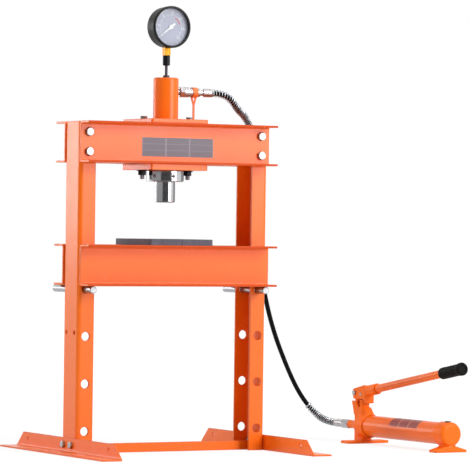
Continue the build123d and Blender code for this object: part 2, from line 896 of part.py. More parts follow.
def lever_nodes():
    """Lever casting with its fork and socket, the handle pipe, the grip and the two pins."""
    side_plane = Plane(origin=(0, 0, 0), x_dir=(1, 0, 0), z_dir=(0, -1, 0))
    across = (0, 1, 0)
    body = extrude(side_plane * lever_outline(), lever_width / 2, both=True)
    slope = math.radians(handle_angle)
    along = (math.cos(slope), 0, math.sin(slope))
    mouth = (mouth_x, 0, mouth_z)
    reach = (mouth_x - socket_start) / math.cos(slope)
    body += rod(step(mouth, along, -reach), along, lever_socket, reach)
    rear = pivot_x - lever_rear_radius - overrun
    body -= block((rear, -fork_gap / 2, 0), (fork_end, fork_gap / 2, lever_top + lever_socket))
    pipe_start = step(mouth, along, -handle_insert)
    body -= rod(pipe_start, along, handle_diameter + 2 * pin_play, handle_insert + overrun)
    for x, z, size in ((pivot_x, pivot_z, pivot_pin), (plunger_x, plunger_z, plunger_pin)):
        body -= rod((x, -lever_width, z), across, size + 2 * pin_play, 2 * lever_width)
    pipe_inner = handle_diameter - 2 * handle_wall
    pipe = sleeve(pipe_start, along, handle_diameter, pipe_inner, handle_length)
    half = lever_width / 2
    pivot = rod((pivot_x, -half - pin_head_wall, pivot_z), across, pin_head, pin_head_wall)
    pivot += rod((pivot_x, -half, pivot_z), across, pivot_pin, lever_width + pin_head_wall)
    pin = rod((plunger_x, -half, plunger_z), across, plunger_pin, lever_width)
    grip_start = step(pipe_start, along, handle_length + grip_cap - grip_length)
    return {
        "pump_lever": body,
        "handle_pipe": pipe,
        "handle_grip": handle_grip(grip_start, along),
        "lever_pivot_pin": pivot,
        "plunger_pin": pin,
    }


def handle_grip(start, along):
    """Moulded grip with a rounded mouth, finger notches on top and a thick closed end."""
    up = (-along[2], 0, along[0])
    grip = rod(start, along, grip_diameter, grip_length)
    grip = fillet(grip.edges().filter_by(GeomType.CIRCLE).sort_by(Axis.X)[0], grip_round)
    end = step(start, along, grip_length - grip_flange_length)
    flange = rod(end, along, grip_flange, grip_flange_length)
    grip += fillet(flange.edges().filter_by(GeomType.CIRCLE), grip_flange_edge)
    height = (grip_diameter + grip_notch) / 2 - grip_notch_depth
    for notch in range(grip_notch_count):
        place = step(start, along, grip_notch_start + grip_notch_pitch * notch)
        middle = step(place, up, height)
        grip -= rod(step(middle, (0, -1, 0), grip_diameter / 2), (0, 1, 0), grip_notch, grip_diameter)
    return grip - rod(start, along, handle_diameter + 2 * pin_play, grip_length - grip_cap)


def plunger():
    """Pump plunger with a slotted eye for the lever's pin."""
    top = plunger_z + plunger_pin / 2 + eye_slot_play + eye_wall
    bottom = plunger_z - plunger_pin / 2 - eye_slot_play - eye_wall
    front = plunger_x + plunger_pin / 2 + eye_slot_lead
    rear = front - eye_slot
    body = rod((plunger_x, 0, plunger_bottom), (0, 0, 1), plunger_diameter, bottom - plunger_bottom)
    half = eye_width / 2
    body += block((rear - eye_wall, -half, bottom), (front + eye_wall, half, top))
    slot = plunger_pin / 2 + eye_slot_play
    return body - block((rear, -eye_width, plunger_z - slot), (front, eye_width, plunger_z + slot))


def release_valve():
    """Fluted knob on a stem that screws into the side of the pump head."""
    half = column_width / 2
    out = (0, 1, 0)
    knob_start = half + valve_gap
    knob = rod((valve_x, knob_start, valve_z), out, valve_knob, valve_knob_length)
    for flute in range(valve_flute_count):
        angle = 2 * math.pi * flute / valve_flute_count
        x = valve_x + valve_knob / 2 * math.cos(angle)
        z = valve_z + valve_knob / 2 * math.sin(angle)
        knob -= rod((x, knob_start, z), out, valve_flute, valve_knob_length)
    depth = valve_stem_depth - valve_gap / 2
    return knob + rod((valve_x, half - depth, valve_z), out, valve_stem, depth + valve_gap)


def end_cap():
    """Cast cap on the far end of the tank, standing on a flared foot."""
    forward = (1, 0, 0)
    cap = rod((cap_start, 0, tank_axis), forward, cap_diameter, cap_end - cap_start)
    cap = fillet(cap.edges().filter_by(GeomType.CIRCLE).group_by(Axis.X)[-1], cap_edge)
    half, neck = end_foot_width / 2, end_foot_neck / 2
    waist = tank_axis - cap_diameter / 2
    outline = Polygon(
        (-half, 0), (half, 0), (half, end_foot_wall), (neck, waist), (neck, tank_axis), (-neck, tank_axis),
        (-neck, waist), (-half, end_foot_wall),
        align=None,
    )
    waists = outline.vertices().sort_by(Axis.Y)
    outline = fillet([v for v in waists if abs(v.Y - waist) < thread_fit], end_foot_corner)
    start = end_foot_place - end_foot_length / 2
    plane = Plane(origin=(start, 0, 0), x_dir=(0, 1, 0), z_dir=(1, 0, 0))
    foot = extrude(plane * outline, end_foot_length)
    upper = block((start, -half, waist), (start + end_foot_length, half, tank_axis))
    keep = block((cap_start, -half, waist), (cap_end - cap_edge, half, tank_axis))
    foot -= upper - keep
    body = cap + foot
    seat = tank_diameter + 2 * tank_clearance
    mouth = min(start, cap_start) - overrun
    body -= rod((mouth, 0, tank_axis), forward, seat, tank_end - mouth)
    seat_z = tank_axis + cap_diameter / 2 - filler_seat
    body -= rod((filler_place, 0, seat_z), (0, 0, 1), filler_diameter + 2 * seat_gap, filler_height)
    bore = filler_bore + 2 * thread_fit
    return body - rod((filler_place, 0, seat_z - filler_height), (0, 0, 1), bore, filler_height)


def pump_nodes():
    """Hand pump in its own axes, then set down beside the press."""
    forward, back, up = (1, 0, 0), (-1, 0, 0), (0, 0, 1)
    tank_bore = tank_diameter - 2 * tank_wall
    tank = sleeve((tank_start, 0, tank_axis), forward, tank_diameter, tank_bore, tank_length)
    gland_z = column_top + gland_boss_height
    gland = hexagon((plunger_x, 0, gland_z), up, gland_flats, gland_height)
    gland -= rod((plunger_x, 0, gland_z), up, plunger_diameter + 2 * running_fit, gland_height)
    filler_seat_place = (filler_place, 0, tank_axis + cap_diameter / 2 - filler_seat)
    filler = rod(filler_seat_place, up, filler_diameter, filler_height)
    filler += rod(filler_seat_place, (0, 0, -1), filler_bore, filler_height)
    ferrule = rod((hose_nut_end, 0, tank_axis), back, ferrule_diameter, lower_ferrule_length)
    ferrule = chamfer(ferrule.edges().filter_by(GeomType.CIRCLE), ferrule_edge)
    nodes = {
        "pump_head": pump_head(),
        "pump_tank": tank,
        "pump_end_cap": end_cap(),
        "filler_plug": filler,
        "plunger": plunger(),
        "plunger_gland": gland,
        "release_valve": release_valve(),
        "hose_nut": hexagon((outlet_end, 0, tank_axis), back, hose_nut_flats, hose_nut_length),
        "lower_hose_ferrule": ferrule,
        **lever_nodes(),
    }
    return {name: pump_place * shape for name, shape in nodes.items()}


def all_nodes():
    """Every piece of the press by name."""
    fittings, hose_start = fitting_nodes()
    return {
        **frame_nodes(),
        **table_nodes(),
        **head_nodes(),
        **gauge_nodes(),
        **fittings,
        **hose_nodes(hose_start),
        **pump_nodes(),
    }


os.makedirs("parts", exist_ok=True)
for node_name, node_shape in all_nodes().items():
    export_step(node_shape, f"parts/{node_name}.step")
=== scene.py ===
import logging
import math
from dataclasses import dataclass, field, replace
from enum import Enum
from functools import partial
from typing import Callable, Iterable, Sequence

import bmesh
import bpy
from mathutils import Matrix, Vector


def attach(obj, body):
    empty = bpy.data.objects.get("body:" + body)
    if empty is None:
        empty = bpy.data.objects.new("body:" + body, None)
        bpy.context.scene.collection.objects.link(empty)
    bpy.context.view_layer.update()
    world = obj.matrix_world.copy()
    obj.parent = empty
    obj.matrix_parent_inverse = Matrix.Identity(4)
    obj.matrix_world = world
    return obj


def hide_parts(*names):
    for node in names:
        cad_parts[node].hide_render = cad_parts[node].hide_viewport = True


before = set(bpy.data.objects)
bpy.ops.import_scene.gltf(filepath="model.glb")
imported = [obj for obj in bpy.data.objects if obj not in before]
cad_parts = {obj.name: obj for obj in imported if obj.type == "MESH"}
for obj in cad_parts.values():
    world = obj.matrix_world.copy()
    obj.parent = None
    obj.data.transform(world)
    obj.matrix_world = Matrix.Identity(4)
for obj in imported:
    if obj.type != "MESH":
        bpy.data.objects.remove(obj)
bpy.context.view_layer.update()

# Looks of a hydraulic shop press with a hand pump. Sizes are in millimetres and turn into metres
# where a mesh or a pattern is made; only the studio's lamps, cards and floor are given in metres.
# +X is to the right, +Y to the back, +Z up.

log = logging.getLogger("shop_press")

MM = 0.001
CREASE_DEG = 34.0
ROUND_POINTS = 56
WAVE_RADIANS = 20.0  # what Blender's wave pattern turns through in one unit of its scale
BOTH = (-1, 1)
RIGHT, UP = Vector((1, 0, 0)), Vector((0, 0, 1))
BLACK, WHITE = (0, 0, 0, 1), (1, 1, 1, 1)
TINY = 1e-6
COLOUR_A, COLOUR_B, COLOUR_MIX = 6, 7, 2  # the Mix node's two inputs and its output for colours

Shape = bmesh.types.BMesh
Tree = bpy.types.NodeTree
Socket = bpy.types.NodeSocket
Sockets = dict[str | int, object]
Point = tuple[float, float, float]
Span = tuple[float, float]
Ring = list[Vector]
ByAngle = float | Callable[[float], float]
Profile = Iterable[tuple[ByAngle, ByAngle]]


class Body(Enum):
    """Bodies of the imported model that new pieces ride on."""

    FRAME = "press_frame"
    LEVER = "pump_lever"


class Axis(Enum):
    """Directions that a wave pattern runs in."""

    X = "X"
    Z = "Z"


class Slot(Enum):
    """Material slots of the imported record."""

    ORANGE = "orange_paint"
    ZINC = "zinc_steel"
    CHROME = "chrome"
    BLACK_STEEL = "blackened_steel"
    BLACK_PLASTIC = "black_plastic"
    DIAL = "dial"
    HOSE = "hose_rubber"
    LABEL = "label"


def linear(hex_colour: str) -> tuple[float, float, float, float]:
    """Turns an sRGB hex colour into linear light.

    Args:
        hex_colour: Six hex digits after a hash sign.

    Returns:
        Red, green, blue and a full alpha.
    """
    parts = [int(hex_colour[i:i + 2], 16) / 255 for i in (1, 3, 5)]
    light = [c / 12.92 if c <= 0.04045 else ((c + 0.055) / 1.055) ** 2.4 for c in parts]
    return (*light, 1.0)


def per_mm(size: float) -> float:
    """Noise scale whose grains are about this many millimetres wide."""
    return 1.0 / (size * MM)


def bands_per_mm(period: float) -> float:
    """Wave scale whose bands repeat after this many millimetres."""
    return 2 * math.pi / (WAVE_RADIANS * period * MM)


def add(tree: Tree, kind: str, sockets: Sockets | None = None, **settings: object) -> bpy.types.Node:
    """Adds a node with its settings and links.

    Args:
        tree: Node tree that gets the node.
        kind: Type name of the node.
        sockets: Input name or number to a value or to the output that feeds it.
        settings: Properties of the node itself.

    Returns:
        The new node.
    """
    node = tree.nodes.new(kind)
    for name, value in settings.items():
        setattr(node, name, value)
    for name, value in (sockets or {}).items():
        if isinstance(value, Socket):
            tree.links.new(value, node.inputs[name])
        else:
            node.inputs[name].default_value = value
    return node


def empty_material(name: str) -> bpy.types.Material:
    """New material whose node tree is still empty.

    Args:
        name: Name of the material.

    Returns:
        The material.
    """
    material = bpy.data.materials.new(name)
    material.use_nodes = True
    material.node_tree.nodes.clear()
    return material


@dataclass(frozen=True)
class Ground:
    """Node tree of a material, with the coordinates and the softened normal that its patterns use."""

    tree: Tree
    place: Socket
    edge: Socket


@dataclass(frozen=True)
class Finish:
    """Surface finish with a colour that drifts, a bump of its own grain and softened edges."""

    name: str
    colour: str
    drift_colour: str
    drift_mm: float
    roughness: float
    roughness_swing: float
    grain_mm: float
    grain_height_mm: float
    metallic: float = 0.0
    ior: float = 1.5
    edge_mm: float = 0.8
    specular: float = 0.5
    drift_detail: float = 3.0
    grain_detail: float = 2.0
    patch_share: float = 0.25
    edge_samples: int = 4

    def build(self) -> bpy.types.Material:
        """Makes the material.

        Returns:
            Material with its node tree.
        """
        material = empty_material(self.name)
        tree = material.node_tree
        place = add(tree, "ShaderNodeTexCoord").outputs["Object"]
        softened = add(tree, "ShaderNodeBevel", {"Radius": self.edge_mm * MM}, samples=self.edge_samples)
        ground = Ground(tree, place, softened.outputs["Normal"])
        sockets = {
            "Metallic": self.metallic, "IOR": self.ior, "Specular IOR Level": self.specular,
            "Base Color": self.tint(ground), "Roughness": self.gloss(ground), "Normal": self.relief(ground),
        }
        shader = add(tree, "ShaderNodeBsdfPrincipled", sockets)
        add(tree, "ShaderNodeOutputMaterial", {"Surface": shader.outputs["BSDF"]})
        return material

    def tint(self, ground: Ground) -> Socket:
        """Colour that drifts slowly over the surface.

        Args:
            ground: Tree and coordinates of the material.

        Returns:
            Colour output.
        """
        sockets = {"Vector": ground.place, "Scale": per_mm(self.drift_mm), "Detail": self.drift_detail}
        drift = add(ground.tree, "ShaderNodeTexNoise", sockets).outputs["Fac"]
        sockets = {"Factor": drift, COLOUR_A: linear(self.colour), COLOUR_B: linear(self.drift_colour)}
        return add(ground.tree, "ShaderNodeMix", sockets, data_type="RGBA").outputs[COLOUR_MIX]

    def gloss(self, ground: Ground) -> Socket:
        """Roughness that swings a little from patch to patch.

        Args:
            ground: Tree and coordinates of the material.

        Returns:
            Roughness output.
        """
        size = self.drift_mm * self.patch_share
        sockets = {"Vector": ground.place, "Scale": per_mm(size), "Detail": self.drift_detail}
        patches = add(ground.tree, "ShaderNodeTexNoise", sockets).outputs["Fac"]
        low, high = self.roughness - self.roughness_swing, self.roughness + self.roughness_swing
        sockets = {"Value": patches, "To Min": low, "To Max": high}
        return add(ground.tree, "ShaderNodeMapRange", sockets).outputs["Result"]

    def relief(self, ground: Ground) -> Socket:
        """Bump of the surface grain on top of the softened edges.

        Args:
            ground: Tree and coordinates of the material.

        Returns:
            Normal output.
        """
        sockets = {"Vector": ground.place, "Scale": per_mm(self.grain_mm), "Detail": self.grain_detail}
        grain = add(ground.tree, "ShaderNodeTexNoise", sockets).outputs["Fac"]
        deep = self.grain_height_mm * MM
        sockets = {"Height": grain, "Distance": deep, "Normal": ground.edge, "Strength": 1.0}
        return add(ground.tree, "ShaderNodeBump", sockets).outputs["Normal"]


@dataclass(frozen=True)
class PowderCoat(Finish):
    """Baked powder coat over steel, duller along edges, with painted shade that turns them a deeper orange.

    A front share above 0 also puts the painted shade on that front share of the solid, where
    a folded channel has the cut edges of its flanges.
    """

    # Painted shade: the deeper orange that the edges take on.
    edge_colour: str = "#D44A02"
    edge_share: float = 0.85
    edge_roughness: float = 0.7
    flat_cosine: float = 0.995
    round_cosine: float = 0.9
    # Front share of the solid whose cut flange edges get the painted shade.
    cut_share: float = 0.0

    def gathered(self, ground: Ground) -> Socket:
        """Mask of the painted shade: strips along edges and the cut edges at the front.

        Args:
            ground: Tree and coordinates of the material.

        Returns:
            Output that is 0 on a flat face.
        """
        tree = ground.tree
        normal = add(tree, "ShaderNodeNewGeometry").outputs["Normal"]
        facing = add(tree, "ShaderNodeVectorMath", {0: ground.edge, 1: normal}, operation="DOT_PRODUCT")
        sockets = {
            "Value": facing.outputs["Value"], "From Min": self.flat_cosine, "From Max": self.round_cosine,
            "To Min": 0.0, "To Max": self.edge_share,
        }
        strips = add(tree, "ShaderNodeMapRange", sockets).outputs["Result"]
        if not self.cut_share:
            return strips
        # Painted shade on the cut edges of the flanges at the front.
        spread = add(tree, "ShaderNodeTexCoord").outputs["Generated"]
        depth = add(tree, "ShaderNodeSeparateXYZ", {0: spread}).outputs["Y"]
        front = add(tree, "ShaderNodeMath", {0: depth, 1: self.cut_share}, operation="LESS_THAN").outputs[0]
        return add(tree, "ShaderNodeMath", {0: strips, 1: front}, operation="MAXIMUM").outputs[0]

    def tint(self, ground: Ground) -> Socket:
        """Drifting colour with painted shade, a deeper orange along an edge.

        Args:
            ground: Tree and coordinates of the material.

        Returns:
            Colour output.
        """
        # The painted shade's deeper orange.
        deep = linear(self.edge_colour)
        sockets = {"Factor": self.gathered(ground), COLOUR_A: super().tint(ground), COLOUR_B: deep}
        return add(ground.tree, "ShaderNodeMix", sockets, data_type="RGBA").outputs[COLOUR_MIX]

    def gloss(self, ground: Ground) -> Socket:
        """Roughness that grows along an edge.

        Args:
            ground: Tree and coordinates of the material.

        Returns:
            Roughness output.
        """
        sockets = {"Factor": self.gathered(ground), "A": super().gloss(ground), "B": self.edge_roughness}
        return add(ground.tree, "ShaderNodeMix", sockets).outputs["Result"]


@dataclass(frozen=True)
class RingedFinish(Finish):
    """Surface with the fine rings that a lathe, a polishing belt or a die leaves round an axis."""

    axis: Axis = Axis.Z
    ring_mm: float = 1.2
    ring_height_mm: float = 0.01
    ring_wander: float = 0.6
    ring_detail: float = 2.0

    def relief(self, ground: Ground) -> Socket:
        """Rings along the axis on top of the plain grain.

        Args:
            ground: Tree and coordinates of the material.

        Returns:
            Normal output.
        """
        grain = super().relief(ground)
        sockets = {
            "Vector": ground.place, "Scale": bands_per_mm(self.ring_mm), "Distortion": self.ring_wander,
            "Detail": self.ring_detail,
        }
        settings = {"wave_type": "BANDS", "bands_direction": self.axis.value}
        rings = add(ground.tree, "ShaderNodeTexWave", sockets, **settings).outputs["Fac"]
        sockets = {"Height": rings, "Distance": self.ring_height_mm * MM, "Normal": grain, "Strength": 1.0}
        return add(ground.tree, "ShaderNodeBump", sockets).outputs["Normal"]


@dataclass(frozen=True)
class RuledFilm(Finish):
    """Printed film with a blank ruled table."""

    rule_colour: str = "#8D8894"
    columns: int = 3
    rows: int = 3
    turn_deg: Point = (90.0, 0.0, 0.0)
    rule_share: float = 0.009

    def tint(self, ground: Ground) -> Socket:
        """Film colour with thin pale rules round empty fields.

        Args:
            ground: Tree and coordinates of the material.

        Returns:
            Colour output.
        """
        tree = ground.tree
        spread = add(tree, "ShaderNodeTexCoord").outputs["Generated"]
        turn = [math.radians(v) for v in self.turn_deg]
        flat = add(tree, "ShaderNodeMapping", {"Vector": spread, "Rotation": turn}).outputs["Vector"]
        sockets = {
            "Vector": flat, "Scale": 1.0, "Mortar Size": self.rule_share, "Mortar Smooth": 0.0,
            "Brick Width": 1 / self.columns, "Row Height": 1 / self.rows,
            "Color1": BLACK, "Color2": BLACK, "Mortar": WHITE,
        }
        rules = add(tree, "ShaderNodeTexBrick", sockets, offset=0.0, squash=1.0).outputs["Color"]
        sockets = {"Factor": rules, COLOUR_A: super().tint(ground), COLOUR_B: linear(self.rule_colour)}
        return add(tree, "ShaderNodeMix", sockets, data_type="RGBA").outputs[COLOUR_MIX]


@dataclass(frozen=True)
class ClearGlass:
    """Flat gauge glass: it shows the room and lets light through to the dial."""

    name: str = "float_glass_polished"
    tint: str = "#F4F7FA"
    ior: float = 1.5
    smear_mm: float = 22.0
    smear_roughness: float = 0.05

    def build(self) -> bpy.types.Material:
        """Makes the material.

        Returns:
            Material that lets shadow rays and the dial's bounce light pass.
        """
        material = empty_material(self.name)
        tree = material.node_tree
        place = add(tree, "ShaderNodeTexCoord").outputs["Object"]
        sockets = {"Vector": place, "Scale": per_mm(self.smear_mm)}
        smear = add(tree, "ShaderNodeTexNoise", sockets).outputs["Fac"]
        sockets = {"Value": smear, "To Min": 0.0, "To Max": self.smear_roughness}
        rough = add(tree, "ShaderNodeMapRange", sockets).outputs["Result"]
        sockets = {
            "Base Color": linear(self.tint), "IOR": self.ior, "Transmission Weight": 1.0, "Roughness": rough,
        }
        glass = add(tree, "ShaderNodeBsdfPrincipled", sockets).outputs["BSDF"]
        clear = add(tree, "ShaderNodeBsdfTransparent").outputs["BSDF"]
        rays = add(tree, "ShaderNodeLightPath").outputs
        sockets = {0: rays["Is Shadow Ray"], 1: rays["Is Diffuse Ray"]}
        passing = add(tree, "ShaderNodeMath", sockets, operation="MAXIMUM").outputs[0]
        mix = add(tree, "ShaderNodeMixShader", {0: passing, 1: glass, 2: clear}).outputs["Shader"]
        add(tree, "ShaderNodeOutputMaterial", {"Surface": mix})
        return material


AnyFinish = Finish | ClearGlass

# Powder-coated steel: smooth satin gloss with a faint orange peel. The real peel is about 1 mm wide
# and is drawn coarser here so that it shows.
# Along its edges the coat gets painted shade, a deeper orange.
POWDER_COAT = PowderCoat(
    "powder_coated_steel_orange", "#F56C0E", "#FA7416", drift_mm=170, roughness=0.26, roughness_swing=0.04,
    grain_mm=5.0, grain_height_mm=0.05, edge_mm=3.0, specular=0.40,
)
# The same coat on the two channels that open to the front; painted shade makes the cut edges of the
# flanges a deeper orange.
CHANNEL_COAT = replace(POWDER_COAT, name="powder_coated_folded_channel_orange", cut_share=0.012)
# Painted sand casting: the same orange over a skin that is rougher and lumpier.
# Its edges get the same painted shade.
CAST_PAINT = PowderCoat(
    "painted_sand_casting_orange", "#F56C0E", "#FB7618", drift_mm=60, roughness=0.40, roughness_swing=0.06,
    grain_mm=3.2, grain_height_mm=0.16, edge_mm=1.6, specular=0.2,
)
# Sprayed enamel on the drawn tank and the handle pipe: the same orange, softer in its shine.
# Its edges get the same painted shade.
TUBE_ENAMEL = PowderCoat(
    "sprayed_enamel_drawn_tube_orange", "#F56C0E", "#F97214", drift_mm=90, roughness=0.30,
    roughness_swing=0.05, grain_mm=4.0, grain_height_mm=0.04, edge_mm=1.2, specular=0.32,
)
# Hard chrome, ground and polished round: a bright mirror with faint rings.
HARD_CHROME = RingedFinish(
    "hard_chrome_ground", "#D2D2D4", "#C2C3C6", drift_mm=40, roughness=0.15, roughness_swing=0.03,
    grain_mm=1.5, grain_height_mm=0.004, metallic=1.0, ring_height_mm=0.006,
)
# Zinc plated steel: pale grey metal with cloudy patches.
ZINC_PLATE = Finish(
    "zinc_plated_steel", "#B4B4B5", "#9B9DA2", drift_mm=9, roughness=0.32, roughness_swing=0.08,
    grain_mm=1.4, grain_height_mm=0.02, metallic=1.0, edge_mm=0.6,
)
# Nickel plated fittings turned along X: bright warm silver with fine rings.
NICKEL_PLATE = RingedFinish(
    "nickel_plated_steel_turned", "#BDB8B8", "#A6A2A4", drift_mm=12, roughness=0.26, roughness_swing=0.05,
    grain_mm=1.2, grain_height_mm=0.008, metallic=1.0, edge_mm=0.5, axis=Axis.X, ring_mm=1.0,
    ring_height_mm=0.012,
)
# Spring wire, bright drawn: silver with streaks.
SPRING_WIRE = Finish(
    "drawn_spring_wire", "#C4C5C9", "#A2A4AA", drift_mm=5, roughness=0.24, roughness_swing=0.07,
    grain_mm=0.8, grain_height_mm=0.01, metallic=1.0, edge_mm=0.3,
)
# Black oxide steel: dark, slightly oily metal.
BLACK_OXIDE = Finish(
    "black_oxide_steel", "#2A2A2D", "#1C1C1F", drift_mm=8, roughness=0.40, roughness_swing=0.08,
    grain_mm=1.2, grain_height_mm=0.02, metallic=0.9, edge_mm=0.5,
)
# Hot rolled plate with mill scale: blue-grey, blotchy, dull.
MILL_SCALE = Finish(
    "hot_rolled_plate_mill_scale", "#5E5861", "#443F48", drift_mm=26, roughness=0.56, roughness_swing=0.10,
    grain_mm=2.2, grain_height_mm=0.08, metallic=0.75, edge_mm=0.9,
)
# Milled brass: yellow metal with tool rings.
BRASS = RingedFinish(
    "brass_milled", "#9A6C22", "#835716", drift_mm=9, roughness=0.30, roughness_swing=0.06, grain_mm=1.0,
    grain_height_mm=0.01, metallic=1.0, edge_mm=0.5, ring_mm=0.9,
)
# Stoved black enamel on the gauge's pressed case: satin with a fine grain.
BLACK_ENAMEL = Finish(
    "black_enamel_pressed_steel", "#0B0B0C", "#121213", drift_mm=30, roughness=0.40, roughness_swing=0.06,
    grain_mm=1.6, grain_height_mm=0.03, edge_mm=1.0, specular=0.18,
)
# Printed aluminium dial: dull lilac grey.
DIAL_SHEET = Finish(
    "printed_aluminium_dial", "#B3B4C2", "#ABACBB", drift_mm=20, roughness=0.55, roughness_swing=0.05,
    grain_mm=0.9, grain_height_mm=0.01, edge_mm=0.2,
)
# White enamel of the dial's print and the pointer: even and satin.
WHITE_INK = Finish(
    "white_enamel", "#F4F4F6", "#E9E9EC", drift_mm=8, roughness=0.45, roughness_swing=0.05, grain_mm=0.9,
    grain_height_mm=0.01, edge_mm=0.1,
)
# Red dial ink: even and dull.
RED_INK = Finish(
    "red_dial_ink", "#C93A3A", "#BE3333", drift_mm=8, roughness=0.5, roughness_swing=0.05, grain_mm=0.9,
    grain_height_mm=0.01, edge_mm=0.1,
)
# Extruded hose rubber: black, satin, with a cloth-wrapped skin.
HOSE_RUBBER = RingedFinish(
    "extruded_hose_rubber", "#080809", "#0E0E0F", drift_mm=24, roughness=0.50, roughness_swing=0.08,
    grain_mm=1.6, grain_height_mm=0.05, edge_mm=0.5, specular=0.06, ring_mm=3.0, ring_height_mm=0.03,
)
# Moulded grip rubber: black, matt, finely pebbled.
GRIP_RUBBER = Finish(
    "moulded_grip_rubber", "#0D0C0C", "#151413", drift_mm=18, roughness=0.58, roughness_swing=0.08,
    grain_mm=1.8, grain_height_mm=0.10, edge_mm=0.6, specular=0.08,
)
# Moulded orange rubber of the dust cap strap: satin, with a faint grain.
STRAP_RUBBER = Finish(
    "moulded_rubber_orange", "#EE6A1C", "#F47C2E", drift_mm=14, roughness=0.45, roughness_swing=0.06,
    grain_mm=1.6, grain_height_mm=0.04,
)
# Moulded black nylon of the filler plug and the valve knob: satin, finely grained.
BLACK_PLASTIC = Finish(
    "moulded_nylon_black", "#1B1A1A", "#262425", drift_mm=12, roughness=0.44, roughness_swing=0.06,
    grain_mm=1.5, grain_height_mm=0.05,
)
# Printed polyester film on the front beam: dark grey with an empty table.
LABEL_FILM = RuledFilm(
    "printed_polyester_film_grey", "#625D69", "#6C6773", drift_mm=60, roughness=0.38, roughness_swing=0.04,
    grain_mm=1.2, grain_height_mm=0.01, edge_mm=0.2,
)
# Printed polyester film on the tank: dark red brown with an empty table.
TANK_FILM = RuledFilm(
    "printed_polyester_film_brown", "#8C3A32", "#9A443A", drift_mm=40, roughness=0.40, roughness_swing=0.04,
    grain_mm=1.2, grain_height_mm=0.01, edge_mm=0.2, rule_colour="#C98A78", columns=2,
    turn_deg=(0.0, 0.0, 0.0), rule_share=0.014,
)
# Float glass, polished: clear, with a faint smear.
GAUGE_GLASS = ClearGlass()


class Paintbox:
    """Builds each finish once and hands out its material."""

    def __init__(self) -> None:
        """Starts with no materials."""
        self.made: dict[str, bpy.types.Material] = {}

    def get(self, finish: AnyFinish) -> bpy.types.Material:
        """Material of a finish.

        Args:
            finish: Finish to build or reuse.

        Returns:
            Its material.
        """
        if finish.name not in self.made:
            self.made[finish.name] = finish.build()
        return self.made[finish.name]


paintbox = Paintbox()


def mm(x: float, y: float, z: float) -> Vector:
    """Point in metres from millimetres."""
    return Vector((x, y, z)) * MM


def along(origin: Vector, axis: Vector) -> Matrix:
    """Placing matrix whose z axis leaves an origin along an axis."""
    turn = UP.rotation_difference(axis.normalized())
    return Matrix.Translation(origin) @ turn.to_matrix().to_4x4()


def skin(shape: Shape, rings: Sequence[Ring], looped: bool = False) -> None:
    """Joins rings with equal numbers of points into a closed skin.

    Args:
        shape: Mesh under construction.
        rings: Rings in order.
        looped: Whether the last ring joins the first; otherwise both get a face.
    """
    rows = [[shape.verts.new(point) for point in ring] for ring in rings]
    pairs = list(zip(rows, rows[1:])) + ([(rows[-1], rows[0])] if looped else [])
    for low, high in pairs:
        count = len(low)
        for i in range(count):
            j = (i + 1) % count
            shape.faces.new((low[i], low[j], high[j], high[i]))
    if not looped:
        shape.faces.new(list(reversed(rows[0])))
        shape.faces.new(rows[-1])


def value_at(value: ByAngle, angle: float) -> float:
    """Value at an angle, for a plain number or a function of the angle."""
    return value(angle) if callable(value) else value


def ring_of(count: int, place: Matrix, radius: ByAngle, height: ByAngle) -> Ring:
    """Ring of points round the z axis of a placing matrix, in metres.

    Args:
        count: Number of points.
        place: Placing matrix.
        radius: Radius in millimetres.
        height: Height in millimetres.

    Returns:
        Points in order.
    """
    points = []
    for i in range(count):
        angle = 2 * math.pi * i / count
        r = value_at(radius, angle)
        points.append(place @ mm(r * math.cos(angle), r * math.sin(angle), value_at(height, angle)))
    return points


def turned(
    shape: Shape, profile: Profile, place: Matrix, count: int = ROUND_POINTS, looped: bool = False
) -> None:
    """Adds a solid round the z axis of a placing matrix, from the radius and height of its rings in mm."""
    skin(shape, [ring_of(count, place, radius, height) for radius, height in profile], looped)


def tube(shape: Shape, centres: Sequence[Vector], radius: float, count: int) -> None:
    """Adds a round tube along points.

    Args:
        shape: Mesh under construction.
        centres: Points of the centre line in metres.
        radius: Radius in millimetres.
        count: Points in a ring.
    """
    rings: list[Ring] = []
    spokes = [2 * math.pi * j / count for j in range(count)]
    side = Vector((0.3, 0.5, 0.81))  # any direction across the first stretch
    for i, centre in enumerate(centres):
        ahead = centres[min(i + 1, len(centres) - 1)] - centres[max(i - 1, 0)]
        tangent = ahead.normalized()
        side = (side - tangent * side.dot(tangent)).normalized()
        other = tangent.cross(side)
        rings.append([centre + (side * math.cos(a) + other * math.sin(a)) * radius * MM for a in spokes])
    skin(shape, rings)


def final_mesh(helper: bpy.types.Object) -> bpy.types.Mesh:
    """Mesh that a curve, a text or a modified object ends up with.

    Args:
        helper: Object that isn't in the scene yet; it is deleted here.

    Returns:
        The new mesh.
    """
    bpy.context.scene.collection.objects.link(helper)
    bpy.context.view_layer.update()
    graph = bpy.context.evaluated_depsgraph_get()
    mesh = bpy.data.meshes.new_from_object(helper.evaluated_get(graph))
    bpy.data.objects.remove(helper)
    return mesh


def piece(
    name: str, shape: Shape, finish: AnyFinish, stands_for: str = "", body: Body = Body.FRAME
) -> bpy.types.Object:
    """Turns a finished mesh into a piece that rides on a body.

    Args:
        name: Name of the piece.
        shape: Mesh, which is freed here.
        finish: Finish of the piece.
        stands_for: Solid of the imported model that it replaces, if any.
        body: Body that carries it.

    Returns:
        The new object.
    """
    bmesh.ops.recalc_face_normals(shape, faces=shape.faces)
    mesh = bpy.data.meshes.new(name)
    shape.to_mesh(mesh)
    shape.free()
    mesh.polygons.foreach_set("use_smooth", [True] * len(mesh.polygons))
    mesh.set_sharp_from_angle(angle=math.radians(CREASE_DEG))
    return mount(bpy.data.objects.new(name, mesh), finish, stands_for, body)


